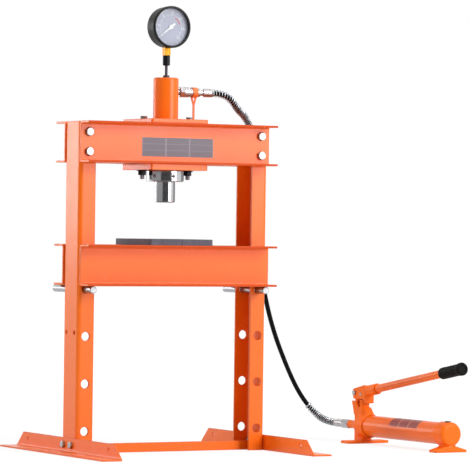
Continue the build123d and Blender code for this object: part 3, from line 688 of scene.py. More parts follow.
def mount(
    part: bpy.types.Object, finish: AnyFinish, stands_for: str = "", body: Body = Body.FRAME
) -> bpy.types.Object:
    """Links an object, gives it its finish and lets it ride on a body.

    Args:
        part: Object whose data is already in place.
        finish: Finish of the piece.
        stands_for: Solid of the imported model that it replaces, if any.
        body: Body that carries it.

    Returns:
        The same object.
    """
    bpy.context.scene.collection.objects.link(part)
    part.data.materials.clear()
    part.data.materials.append(paintbox.get(finish))
    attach(part, body.value)
    if stands_for:
        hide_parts(stands_for)
    log.info("piece %s rides on %s", part.name, body.value)
    return part


def dress(finish: AnyFinish, *names: str) -> None:
    """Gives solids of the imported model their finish.

    Args:
        finish: Finish to wear.
        names: Names of the solids' nodes.
    """
    for name in names:
        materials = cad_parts[name].data.materials
        materials.clear()
        materials.append(paintbox.get(finish))
        log.info("solid %s wears %s", name, finish.name)


def hex_radius(flats: float) -> Callable[[float], float]:
    """Radius of a hexagon at an angle, for a size across flats in millimetres."""
    sixth = math.pi / 3
    return lambda angle: flats / 2 / math.cos((angle + sixth / 2) % sixth - sixth / 2)


@dataclass(frozen=True)
class HexFastener:
    """Hexagon bolt or nut with chamfered corners and a cut thread."""

    size: float
    flats: float
    pitch: float
    points: int = 48
    chamfer_share: float = 0.95
    chamfer_slope: float = 0.577
    washer_face: float = 0.4
    crown: float = 1.0
    bore_gap: float = 0.15
    bore_chamfer: float = 0.6
    thread_points: int = 24
    thread_steps: int = 8
    thread_depth: float = 0.6
    flank_share: float = 0.8
    end_share: float = 0.9

    @property
    def face(self) -> float:
        """Radius of the round face inside the chamfer."""
        return self.chamfer_share * self.flats / 2

    def corner_drop(self) -> Callable[[float], float]:
        """How far the chamfer cone lies below the end face at an angle."""
        radius = hex_radius(self.flats)
        return lambda angle: (radius(angle) - self.face) * self.chamfer_slope

    def head(self, shape: Shape, place: Matrix, height: float) -> None:
        """Adds a bolt head that stands on the plane of a placing matrix.

        Args:
            shape: Mesh under construction.
            place: Placing matrix whose z axis leaves the seat.
            height: Height of the head.
        """
        radius, drop, face = hex_radius(self.flats), self.corner_drop(), self.face
        profile = (
            (face, 0.0), (face, self.washer_face), (radius, self.washer_face),
            (radius, lambda angle: height - drop(angle)), (face, height), (face - self.crown, height),
        )
        turned(shape, profile, place, self.points)

    def nut(self, shape: Shape, place: Matrix, height: float) -> None:
        """Adds a nut that stands on the plane of a placing matrix.

        Args:
            shape: Mesh under construction.
            place: Placing matrix whose z axis leaves the seat.
            height: Height of the nut.
        """
        radius, drop, face = hex_radius(self.flats), self.corner_drop(), self.face
        bore = self.size / 2 + self.bore_gap
        mouth = bore + self.bore_chamfer
        profile = (
            (bore, self.bore_chamfer), (mouth, 0.0), (face, 0.0), (radius, drop),
            (radius, lambda angle: height - drop(angle)), (face, height), (mouth, height),
            (bore, height - self.bore_chamfer),
        )
        turned(shape, profile, place, self.points, looped=True)

    def shank(self, shape: Shape, place: Matrix, plain: float, length: float) -> None:
        """Adds a shank with a plain part and a thread up to its chamfered end.

        Args:
            shape: Mesh under construction.
            place: Placing matrix whose z axis runs from the head to the end.
            plain: Length without a thread.
            length: Whole length.
        """
        outer, depth = self.size / 2, self.thread_depth * self.pitch
        steps = max(1, round((length - plain) / self.pitch * self.thread_steps))
        profile: list[tuple[ByAngle, ByAngle]] = [(outer, 0.0)]
        for i in range(steps + 1):
            z = plain + (length - plain) * i / steps
            taper = min(1.0, (length - z) / self.pitch)

            def cut(angle: float, z: float = z, taper: float = taper) -> float:
                """Radius of the thread at an angle."""
                phase = (z / self.pitch - angle / (2 * math.pi)) % 1
                return outer - depth * (abs(2 * phase - 1) * self.flank_share + (1 - taper) * self.end_share)

            profile.append((cut, z))
        turned(shape, profile, place, self.thread_points)


@dataclass(frozen=True)
class WeldBead:
    """Rippled weld bead that thins out at its ends."""

    radius: float = 2.0
    ripple: float = 2.4
    low_share: float = 0.84
    ripple_share: float = 0.16
    end_share: float = 0.45
    ripple_steps: int = 5
    fewest_steps: int = 8
    points: int = 12

    def lay(self, shape: Shape, start: Vector, end: Vector) -> None:
        """Adds the bead along a line.

        Args:
            shape: Mesh under construction.
            start: First point in metres.
            end: Last point in metres.
        """
        length = (end - start).length / MM
        steps = max(self.fewest_steps, round(length / self.ripple * self.ripple_steps))
        profile = []
        for i in range(steps + 1):
            z = length * i / steps
            swell = self.low_share + self.ripple_share * abs(math.sin(math.pi * z / self.ripple))
            ends = min(1.0, self.end_share + min(z, length - z) / self.radius)
            profile.append((self.radius * swell * ends, z))
        turned(shape, profile, along(start, end - start), self.points)


@dataclass(frozen=True)
class PressedFerrule:
    """Hose ferrule with the rings that its pressing left."""

    length: float
    radius: float = 10.5
    mouth: float = 1.2
    mouth_length: float = 1.0
    margin: float = 2.0
    ring_pitch: float = 6.0
    fewest_rings: int = 3
    ring_share: float = 0.62
    groove_shares: Span = (0.74, 0.9)
    groove: float = 0.7
    last_ring: float = 1.6
    end_round: float = 0.9

    def build(self, shape: Shape, place: Matrix) -> None:
        """Adds the ferrule.

        Args:
            shape: Mesh under construction.
            place: Placing matrix whose z axis runs to the hose.
        """
        radius, low = self.radius, self.radius - self.groove
        profile = [(radius - self.mouth, 0.0), (radius, self.mouth_length)]
        count = max(self.fewest_rings, round(self.length / self.ring_pitch))
        pitch = (self.length - 2 * self.margin) / count
        for i in range(count):
            z = self.margin + pitch * i
            profile += [(radius, z), (radius, z + self.ring_share * pitch)]
            profile += [(low, z + share * pitch) for share in self.groove_shares]
        profile += [(radius, self.length - self.last_ring), (radius, self.length - self.end_round)]
        turned(shape, profile + [(radius - self.end_round, self.length)], place)


@dataclass
class PressFrame:
    """Posts, feet, crossbar and upper beams with their bolts, welds and blank label."""

    bolt_x: float = 238.5
    beam_face: float = 45.0
    bolt_rows: Span = (732.0, 780.0)
    beam_bolt: HexFastener = HexFastener(size=12, flats=19, pitch=1.75)
    beam_head: float = 7.5
    beam_grip: float = 10.0
    beam_nut: float = 10.0
    foot_seat: float = 264.0
    foot_y: float = 21.0
    foot_z: float = 21.0
    foot_bolt: HexFastener = HexFastener(size=10, flats=16, pitch=1.5)
    foot_head: float = 6.4
    foot_grip: float = 9.0
    foot_nut: float = 8.0
    overhang: float = 3.0
    web_inner: float = 255.0
    bar_front: float = -11.5
    bar_back: float = 11.5
    bar_height: float = 23.0
    bar_wall: float = 4.0
    weld_low: float = 1.5
    weld: WeldBead = WeldBead()

    def build(self) -> None:
        """Adds the detailed fasteners and weld beads."""
        made = {name: bmesh.new() for name in ("beam_bolts", "beam_nuts", "foot_bolts", "foot_nuts")}
        beam = made["beam_bolts"], made["beam_nuts"], self.beam_bolt
        foot = made["foot_bolts"], made["foot_nuts"], self.foot_bolt
        for side in BOTH:
            for face in BOTH:
                out = Vector((0, face, 0))
                for z in self.bolt_rows:
                    seat = mm(side * self.bolt_x, face * self.beam_face, z)
                    self.fasten(*beam, seat, out, self.beam_head, self.beam_grip, self.beam_nut)
                seat = mm(side * self.foot_seat, face * self.foot_y, self.foot_z)
                self.fasten(*foot, seat, RIGHT * side, self.foot_head, self.foot_grip, self.foot_nut)
        for name, shape in made.items():
            piece(f"hex_{name}", shape, ZINC_PLATE, name)
        welds = bmesh.new()
        for side in BOTH:
            x, wall = side * self.web_inner, self.bar_wall
            self.weld.lay(welds, mm(x, self.bar_front, self.weld_low), mm(x, self.bar_front, self.bar_height))
            self.weld.lay(welds, mm(x, self.bar_front + wall, wall), mm(x, self.bar_back, wall))
        piece("crossbar_welds", welds, POWDER_COAT)

    def fasten(
        self, bolts: Shape, nuts: Shape, kind: HexFastener, seat: Vector, out: Vector, head: float,
        grip: float, nut: float,
    ) -> None:
        """Adds one bolt and its nut.

        Args:
            bolts: Mesh of all bolts.
            nuts: Mesh of all nuts.
            kind: Size of the fastener.
            seat: Point under the bolt head.
            out: Direction from the seat to the head.
            head: Height of the head.
            grip: Thickness that the bolt holds together.
            nut: Height of the nut.
        """
        kind.head(bolts, along(seat, out), head)
        kind.shank(bolts, along(seat, -out), grip, grip + nut + self.overhang)
        kind.nut(nuts, along(seat - out * grip * MM, -out), nut)

    def dress(self) -> None:
        """Paints the folded steel and lays the film on the label's place."""
        dress(POWDER_COAT, "left_post", "right_post", "left_foot", "right_foot")
        dress(POWDER_COAT, "lower_crossbar", "rear_upper_beam")
        dress(CHANNEL_COAT, "front_upper_beam")
        dress(LABEL_FILM, "label_plate")


@dataclass
class WorkTable:
    """Table channels, spacers, pins and the loose plates."""

    spacer_x: float = 190.0
    spacer_wall: float = 12.0
    web_back: float = 45.0
    spacer_low: float = 427.4
    spacer_high: float = 487.4
    weld: WeldBead = WeldBead()

    def build(self) -> None:
        """Adds the weld beads along the spacers."""
        welds = bmesh.new()
        for side in BOTH:
            for face in BOTH:
                for edge in BOTH:
                    x = side * self.spacer_x + edge * self.spacer_wall / 2
                    y = face * self.web_back
                    self.weld.lay(welds, mm(x, y, self.spacer_low), mm(x, y, self.spacer_high))
        piece("table_welds", welds, POWDER_COAT)

    def dress(self) -> None:
        """Paints the table and leaves pins and plates bare."""
        dress(CHANNEL_COAT, "table_front_channel")
        dress(POWDER_COAT, "table_rear_channel", "left_table_spacer", "right_table_spacer")
        dress(ZINC_PLATE, "left_table_pin", "right_table_pin")
        dress(MILL_SCALE, "left_arbor_plate", "right_arbor_plate")


@dataclass
class PressHead:
    """Clamp plates, cylinder, ring nut and ram."""

    bolt_places: Span = (-70.0, 56.0)
    plate_top: float = 816.0
    plate_bottom: float = 691.0
    washer_wall: float = 2.5
    bolt: HexFastener = HexFastener(size=12, flats=19, pitch=1.75)
    head: float = 7.5
    nut: float = 10.0
    end: float = 10.0
    thread: float = 30.0

    def build(self) -> None:
        """Adds the clamp bolts and nuts."""
        bolts, nuts = bmesh.new(), bmesh.new()
        grip = self.plate_top - self.plate_bottom + self.washer_wall
        length = grip + self.nut + self.end
        for x in self.bolt_places:
            top = mm(x, 0, self.plate_top)
            self.bolt.head(bolts, along(top, UP), self.head)
            self.bolt.shank(bolts, along(top, -UP), length - self.thread, length)
            self.bolt.nut(nuts, along(mm(x, 0, self.plate_top - grip), -UP), self.nut)
        piece("hex_clamp_bolts", bolts, ZINC_PLATE, "clamp_bolts")
        piece("hex_clamp_nuts", nuts, BLACK_OXIDE, "clamp_nuts")

    def dress(self) -> None:
        """Paints the plates and the cylinder, and leaves the chromed parts bright."""
        dress(POWDER_COAT, "upper_clamp_plate", "lower_clamp_plate", "cylinder_tube")
        dress(BLACK_OXIDE, "clamp_washers")
        dress(HARD_CHROME, "ring_nut", "ram")
        dress(HOSE_RUBBER, "ram_seal")


@dataclass
class PressureGauge:
    """Gauge on its thin stem, with a printed dial."""

    x: float = -7.0
    z: float = 1043.0
    face_y: float = -20.2
    ink: float = 0.12
    zero_deg: float = 219.0
    sweep_deg: float = 270.0
    numbers: tuple[int, ...] = (0, 10, 20, 30, 40, 50, 60)
    ticks_between: int = 10
    outer: float = 43.0
    long_tick: float = 6.0
    short_tick: float = 3.4
    tick_width: float = 0.5
    long_tick_width: float = 0.9
    inner_scale: float = 29.5
    number_radius: float = 33.2
    number_size: float = 6.4
    red_from_deg: float = 62.0
    red_to_deg: float = 14.0
    red_radius: float = 26.6
    red_width: float = 2.4
    arc_step_deg: float = 4.0
    fewest_steps: int = 6

    def point(self, radius: float, angle_deg: float, depth: float) -> Vector:
        """Point on the dial at a radius and an angle, raised off the face."""
        angle = math.radians(angle_deg)
        return mm(self.x + radius * math.cos(angle), self.face_y - depth, self.z + radius * math.sin(angle))

    def patch(self, shape: Shape, corners: Sequence[Span]) -> None:
        """Adds a thin printed patch from the radius and angle of its corners."""
        skin(shape, [[self.point(r, a, depth) for r, a in corners] for depth in (0.0, self.ink)])

    def tick(self, shape: Shape, angle: float, outer: float, length: float, width: float) -> None:
        """Adds one mark of the scale.

        Args:
            shape: Mesh under construction.
            angle: Angle of the mark in degrees.
            outer: Outer radius.
            length: Length towards the middle.
            width: Width of the mark.
        """
        inner = outer - length
        half_out, half_in = (math.degrees(width / 2 / radius) for radius in (outer, inner))
        low = (inner, angle - half_in), (outer, angle - half_out)
        high = (outer, angle + half_out), (inner, angle + half_in)
        self.patch(shape, low + high)

    def arc(self, shape: Shape, radius: float, width: float, start: float, end: float) -> None:
        """Adds a printed arc.

        Args:
            shape: Mesh under construction.
            radius: Inner radius.
            width: Width of the line.
            start: First angle in degrees.
            end: Last angle in degrees.
        """
        steps = max(self.fewest_steps, round(abs(end - start) / self.arc_step_deg))
        angles = [start + (end - start) * i / steps for i in range(steps + 1)]
        inner = [(radius, a) for a in angles]
        outer = [(radius + width, a) for a in reversed(angles)]
        self.patch(shape, inner + outer)

    def angle_at(self, share: float) -> float:
        """Angle of a share of the whole scale, in degrees."""
        return self.zero_deg - self.sweep_deg * share

    def build(self) -> None:
        """Prints the scales, the numbers and the red field."""
        white, red = bmesh.new(), bmesh.new()
        parts = (len(self.numbers) - 1) * self.ticks_between
        for i in range(parts + 1):
            angle = self.angle_at(i / parts)
            if i % self.ticks_between == 0:
                self.tick(white, angle, self.outer, self.long_tick, self.long_tick_width)
            else:
                self.tick(white, angle, self.outer, self.short_tick, self.tick_width)
            if i % (self.ticks_between // 2) == 0:
                self.tick(white, angle, self.inner_scale, self.short_tick, self.tick_width)
        for radius in (self.outer, self.inner_scale):
            self.arc(white, radius, self.tick_width, self.zero_deg, self.angle_at(1.0))
        self.arc(red, self.red_radius - self.red_width, self.red_width, self.red_from_deg, self.red_to_deg)
        self.print_numbers(white)
        piece("dial_scale", white, WHITE_INK)
        piece("dial_red_field", red, RED_INK)

    def print_numbers(self, shape: Shape) -> None:
        """Adds the numbers of the outer scale.

        Args:
            shape: Mesh under construction.
        """
        stand = Matrix.Rotation(math.radians(90), 4, "X")
        for i, number in enumerate(self.numbers):
            words = bpy.data.curves.new("dial_number", "FONT")
            words.body = str(number)
            words.size = self.number_size * MM
            words.align_x, words.align_y = "CENTER", "CENTER"
            words.extrude = self.ink * MM / 2
            mesh = final_mesh(bpy.data.objects.new("dial_number", words))
            spot = self.point(self.number_radius, self.angle_at(i / (len(self.numbers) - 1)), self.ink / 2)
            mesh.transform(Matrix.Translation(spot) @ stand)
            shape.from_mesh(mesh)
            bpy.data.curves.remove(words)
            bpy.data.meshes.remove(mesh)

    def dress(self) -> None:
        """Gives each gauge part its metal, enamel or glass."""
        dress(BLACK_ENAMEL, "gauge_case", "gauge_bezel")
        dress(DIAL_SHEET, "gauge_dial")
        dress(WHITE_INK, "gauge_pointer")
        dress(GAUGE_GLASS, "gauge_glass")
        dress(BRASS, "gauge_shank")
        dress(BLACK_OXIDE, "gauge_coupling")
        dress(MILL_SCALE, "gauge_stem")


@dataclass
class HoseLine:
    """Hose with its two coiled guards, and the fittings at its upper end."""

    diameter: float = 12.0
    length: float = 1211.0
    route: tuple[Point, ...] = (
        (119, 0, 885), (145, 0, 885), (178, 6, 873.5), (208, 27, 850), (264, 82, 832), (320, 128, 775),
        (330, 152, 680), (350, 178, 560), (381, 200, 432), (454, 272, 301), (545, 342, 183), (603, 373, 111),
        (636, 352, 64), (643.149, 299.829, 45), (645.242, 251.874, 45),
    )
    line_steps: int = 24
    tube_steps: int = 8
    coil_radius: float = 8.6
    wire: float = 2.4
    wire_points: int = 10
    turn_steps: int = 22
    closed_turns: float = 1.5
    closed_gap: float = 1.04
    upper_length: float = 224.0
    upper_pitch: float = 8.2
    lower_length: float = 130.0
    lower_pitch: float = 7.4
    port_z: float = 885.0
    nut_start: float = 29.0
    nut_length: float = 11.0
    nut: HexFastener = HexFastener(size=12, flats=25, pitch=1.5)
    socket_start: float = 40.0
    # Profiles give the radius and the height of each ring.
    socket_profile: tuple[Span, ...] = (
        (10.5, 0), (11.6, 0.6), (11.6, 2.0), (12.5, 2.6), (12.5, 7.2), (11.9, 7.6), (11.9, 8.8), (12.5, 9.2),
        (12.5, 14.4), (11.4, 15.2), (11.4, 16.4), (10.6, 17),
    )
    plug_start: float = 57.0
    plug_profile: tuple[Span, ...] = (
        (10.2, 0), (11, 0.8), (11, 20.8), (10.2, 21.4), (10.2, 22.8), (11, 23.4), (11, 26.8), (9.4, 27.6),
        (9.4, 30), (7.5, 30.3), (7.5, 37),
    )
    ferrule_start: float = 94.0
    ferrule: PressedFerrule = PressedFerrule(length=25.0)

    def spline(self, bevel: float) -> bpy.types.Curve:
        """Smooth curve through the route.

        Args:
            bevel: Radius of the tube in millimetres, or 0 for a bare line.

        Returns:
            New curve data.
        """
        curve = bpy.data.curves.new("hydraulic_hose", "CURVE")
        curve.dimensions = "3D"
        curve.resolution_u = self.line_steps
        line = curve.splines.new("NURBS")
        line.points.add(len(self.route) - 1)
        for point, place in zip(line.points, self.route):
            point.co = (*mm(*place), 1.0)
        line.order_u = 3
        line.use_endpoint_u = True
        curve.bevel_depth = bevel * MM
        curve.bevel_resolution = self.tube_steps
        curve.use_fill_caps = True
        return curve

    def line_points(self) -> list[Vector]:
        """Points along the middle of the hose.

        Returns:
            Points in order, in metres.
        """
        bare = self.spline(0.0)
        mesh = final_mesh(bpy.data.objects.new("hose_line", bare))
        points = [v.co.copy() for v in mesh.vertices]
        bpy.data.meshes.remove(mesh)
        bpy.data.curves.remove(bare)
        return points

    def coil(
        self, name: str, points: list[Vector], length: float, pitch: float, node: str
    ) -> bpy.types.Object:
        """Adds a wire guard that winds round the hose from its end, with closed turns at both ends.

        Args:
            name: Name of the piece.
            points: Hose line that starts at the guarded end.
            length: Guarded length in millimetres.
            pitch: Distance between turns in millimetres.
            node: Solid that the coil replaces.

        Returns:
            The new piece.
        """
        stations = [0.0]
        for before, here in zip(points, points[1:]):
            stations.append(stations[-1] + (here - before).length / MM)
        closed = self.closed_turns * self.wire * self.closed_gap
        turns = 2 * self.closed_turns + (length - 2 * closed - self.wire) / pitch
        steps = round(turns * self.turn_steps)
        centres: list[Vector] = []
        side = UP
        k = 0
        for i in range(steps + 1):
            turn = turns * i / steps
            body = min(max(turn - self.closed_turns, 0.0), turns - 2 * self.closed_turns)
            s = self.wire / 2 + (turn - body) * self.wire * self.closed_gap + body * pitch
            while k < len(stations) - 2 and stations[k + 1] < s:
                k += 1
            share = (s - stations[k]) / max(stations[k + 1] - stations[k], TINY)
            tangent = (points[k + 1] - points[k]).normalized()
            side = (side - tangent * side.dot(tangent)).normalized()
            other = tangent.cross(side)
            angle = 2 * math.pi * turn
            out = side * math.cos(angle) + other * math.sin(angle)
            centres.append(points[k].lerp(points[k + 1], share) + out * self.coil_radius * MM)
        shape = bmesh.new()
        tube(shape, centres, self.wire / 2, self.wire_points)
        return piece(name, shape, SPRING_WIRE, node)

    def build(self) -> None:
        """Adds the hose, its guards and the detailed fittings."""
        tube_curve = self.spline(self.diameter / 2)
        hose = mount(bpy.data.objects.new("hydraulic_hose", tube_curve), HOSE_RUBBER, "hose")
        points = self.line_points()
        guards = [
            self.coil(f"{end}_coil_guard", line, length, pitch, f"{end}_spring_guard")
            for end, line, length, pitch in (
                ("upper", points, self.upper_length, self.upper_pitch),
                ("lower", points[::-1], self.lower_length, self.lower_pitch),
            )
        ]
        self.fittings()

    def fittings(self) -> None:
        """Adds the swivel nut, the coupler halves and the pressed ferrule."""
        nut = partial(self.nut.head, height=self.nut_length)
        sleeve = partial(turned, profile=self.socket_profile)
        plug = partial(turned, profile=self.plug_profile)
        for name, node, start, build in (
            ("coupler_hex_nut", "coupler_swivel_nut", self.nut_start, nut),
            ("coupler_sleeve", "coupler_socket", self.socket_start, sleeve),
            ("coupler_plug_body", "coupler_plug", self.plug_start, plug),
            ("upper_pressed_ferrule", "upper_hose_ferrule", self.ferrule_start, self.ferrule.build),
        ):
            shape = bmesh.new()
            build(shape, place=along(mm(start, 0, self.port_z), RIGHT))
            piece(name, shape, NICKEL_PLATE, node)

    def dress(self) -> None:
        """Plates the nipple at the cylinder and gives the strap its rubber."""
        dress(NICKEL_PLATE, "cylinder_port_nipple")
        dress(STRAP_RUBBER, "dust_cap_strap")


@dataclass
class HandPump:
    """Hand pump with its cast head, tank, lever and grip. Its own x axis runs along the tank."""

    place: Point = (651.0, 120.0, 0.0)
    turn_deg: float = -87.5
    merge: float = 0.002
    voxel: float = 1.3
    soften: float = 0.5
    soften_steps: int = 5
    tank_axis: float = 45.0
    tank_radius: float = 27.5
    film_start: float = 148.0
    film_end: float = 274.0
    film_spans: int = 12
    film_from_deg: float = 20.0
    film_to_deg: float = 162.0
    film_steps: int = 24
    film_wall: float = 0.2
    mouth: Point = (58.0, 0.0, 143.0)
    slope_deg: float = 10.2
    pipe_length: float = 404.0
    pipe_insert: float = 26.0
    grip_length: float = 92.0
    grip_steps: int = 100
    grip_cap: float = 4.0
    grip_bore: float = 10.6
    grip_radius: float = 15.0
    grip_round: float = 7.0
    grip_round_share: float = 0.6
    # Radius of each ring that closes the grip's end, and how deep it lies below that end.
    end_profile: tuple[Span, ...] = ((11.5, 0.2), (10.4, 0.9), (9.8, 2.6), (4.0, 3.0))
    flange_radius: float = 16.5
    flange_length: float = 15.0
    flange_rise: float = 2.0
    flange_round: float = 4.0
    notch_start: float = 26.0
    notch_pitch: float = 11.5
    notch_count: int = 5
    notch_depth: float = 2.4
    notch_fade: float = 1.3
    hose_nut_start: float = -68.0
    hose_nut_end: float = -98.0
    hose_nut: HexFastener = HexFastener(size=12, flats=22, pitch=1.5)
    ferrule: PressedFerrule = PressedFerrule(length=34.0)
    matrix: Matrix = field(init=False)

    def __post_init__(self) -> None:
        """Works out the pump's placing matrix."""
        turn = Matrix.Rotation(math.radians(self.turn_deg), 4, "Z")
        self.matrix = Matrix.Translation(mm(*self.place)) @ turn

    def local(self, origin: Point, axis: Point) -> Matrix:
        """Placing matrix in the pump's own axes."""
        return self.matrix @ along(mm(*origin), Vector(axis))

    def build(self) -> None:
        """Adds the castings, the tank's film, the grip and the lower hose fittings."""
        self.casting("pump_head", "cast_pump_head", Body.FRAME)
        self.casting("pump_end_cap", "cast_end_cap", Body.FRAME)
        self.casting("pump_lever", "cast_pump_lever", Body.LEVER)
        self.tank_film()
        self.grip()
        nut, lower = bmesh.new(), bmesh.new()
        start, end = self.hose_nut_start, self.hose_nut_end
        seat, rim = (self.local((x, 0, self.tank_axis), (-1, 0, 0)) for x in (start, end))
        self.hose_nut.head(nut, seat, start - end)
        piece("outlet_hex_nut", nut, NICKEL_PLATE, "hose_nut")
        self.ferrule.build(lower, rim)
        piece("lower_pressed_ferrule", lower, NICKEL_PLATE, "lower_hose_ferrule")

    def casting(self, node: str, name: str, body: Body) -> None:
        """Rounds a solid like a sand casting.

        Args:
            node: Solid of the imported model.
            name: Name of the piece.
            body: Body that carries it.
        """
        shape = bmesh.new()
        shape.from_mesh(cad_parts[node].data)
        bmesh.ops.remove_doubles(shape, verts=shape.verts, dist=self.merge * MM)
        mesh = bpy.data.meshes.new(name)
        shape.to_mesh(mesh)
        shape.free()
        helper = bpy.data.objects.new(f"{name}_rough", mesh)
        remesh = helper.modifiers.new("skin", "REMESH")
        remesh.mode = "VOXEL"
        remesh.voxel_size = self.voxel * MM
        soften = helper.modifiers.new("soften", "SMOOTH")
        soften.factor = self.soften
        soften.iterations = self.soften_steps
        rounded = final_mesh(helper)
        bpy.data.meshes.remove(mesh)
        rounded.name = name
        rounded.polygons.foreach_set("use_smooth", [True] * len(rounded.polygons))
        mount(bpy.data.objects.new(name, rounded), CAST_PAINT, node, body)

    def tank_film(self) -> None:
        """Adds the curved film on top of the tank."""
        shape = bmesh.new()
        sweep = self.film_to_deg - self.film_from_deg
        rings = []
        for i in range(self.film_spans + 1):
            s = self.film_start + (self.film_end - self.film_start) * i / self.film_spans
            loop = []
            for radius, order in ((self.tank_radius, 1), (self.tank_radius + self.film_wall, -1)):
                for j in range(self.film_steps + 1)[::order]:
                    angle = math.radians(self.film_from_deg + sweep * j / self.film_steps)
                    y, z = radius * math.cos(angle), self.tank_axis + radius * math.sin(angle)
                    loop.append(self.matrix @ mm(s, y, z))
            rings.append(loop)
        skin(shape, rings)
        piece("tank_film", shape, TANK_FILM)

    def grip(self) -> None:
        """Adds the moulded grip with its finger waves and end flange."""
        slope = math.radians(self.slope_deg)
        way = (math.cos(slope), 0.0, math.sin(slope))
        reach = self.pipe_length - self.pipe_insert + self.grip_cap - self.grip_length
        place = self.local(tuple(o + w * reach for o, w in zip(self.mouth, way)), way)
        up = place.to_3x3().inverted() @ UP
        top = math.atan2(up.y, up.x)
        end = self.grip_length
        profile: list[tuple[ByAngle, ByAngle]] = [(self.grip_bore, 0.0)]
        for s in [end * i / self.grip_steps for i in range(self.grip_steps + 1)]:
            profile.append((lambda angle, s=s: self.grip_outline(s, angle - top), s))
        profile += [(radius, end - depth) for radius, depth in self.end_profile]
        shape = bmesh.new()
        turned(shape, profile, place)
        piece("moulded_grip", shape, GRIP_RUBBER, "handle_grip", Body.LEVER)

    def grip_outline(self, s: float, angle: float) -> float:
        """Radius of the grip at a place along it and an angle from its upper side.

        Args:
            s: Distance from the grip's inner end.
            angle: Angle from the upper side.

        Returns:
            Radius in millimetres.
        """
        mouth = max(0.0, 1 - s / self.grip_round)
        radius = self.grip_radius - self.grip_round * (1 - math.sqrt(1 - mouth ** 2)) * self.grip_round_share
        rise = self.grip_length - self.flange_length + self.flange_rise
        radius += (self.flange_radius - self.grip_radius) / (1 + math.exp(rise - s))
        close = max(0.0, 1 - (self.grip_length - s) / self.flange_round)
        radius -= self.flange_round * (1 - math.sqrt(1 - close ** 2))
        first = self.notch_start - self.notch_pitch / 2
        if first < s < first + self.notch_pitch * self.notch_count:
            wave = 0.5 - 0.5 * math.cos(2 * math.pi * (s - first) / self.notch_pitch)
            radius -= self.notch_depth * wave * max(0.0, math.cos(angle)) ** self.notch_fade
        return radius

    def dress(self) -> None:
        """Paints the tank and the pipe and leaves pins and plunger bright."""
        dress(TUBE_ENAMEL, "pump_tank", "handle_pipe")
        dress(ZINC_PLATE, "lever_pivot_pin", "plunger_pin")
        dress(HARD_CHROME, "plunger")
        dress(CAST_PAINT, "plunger_gland")
        dress(BLACK_PLASTIC, "filler_plug", "release_valve")


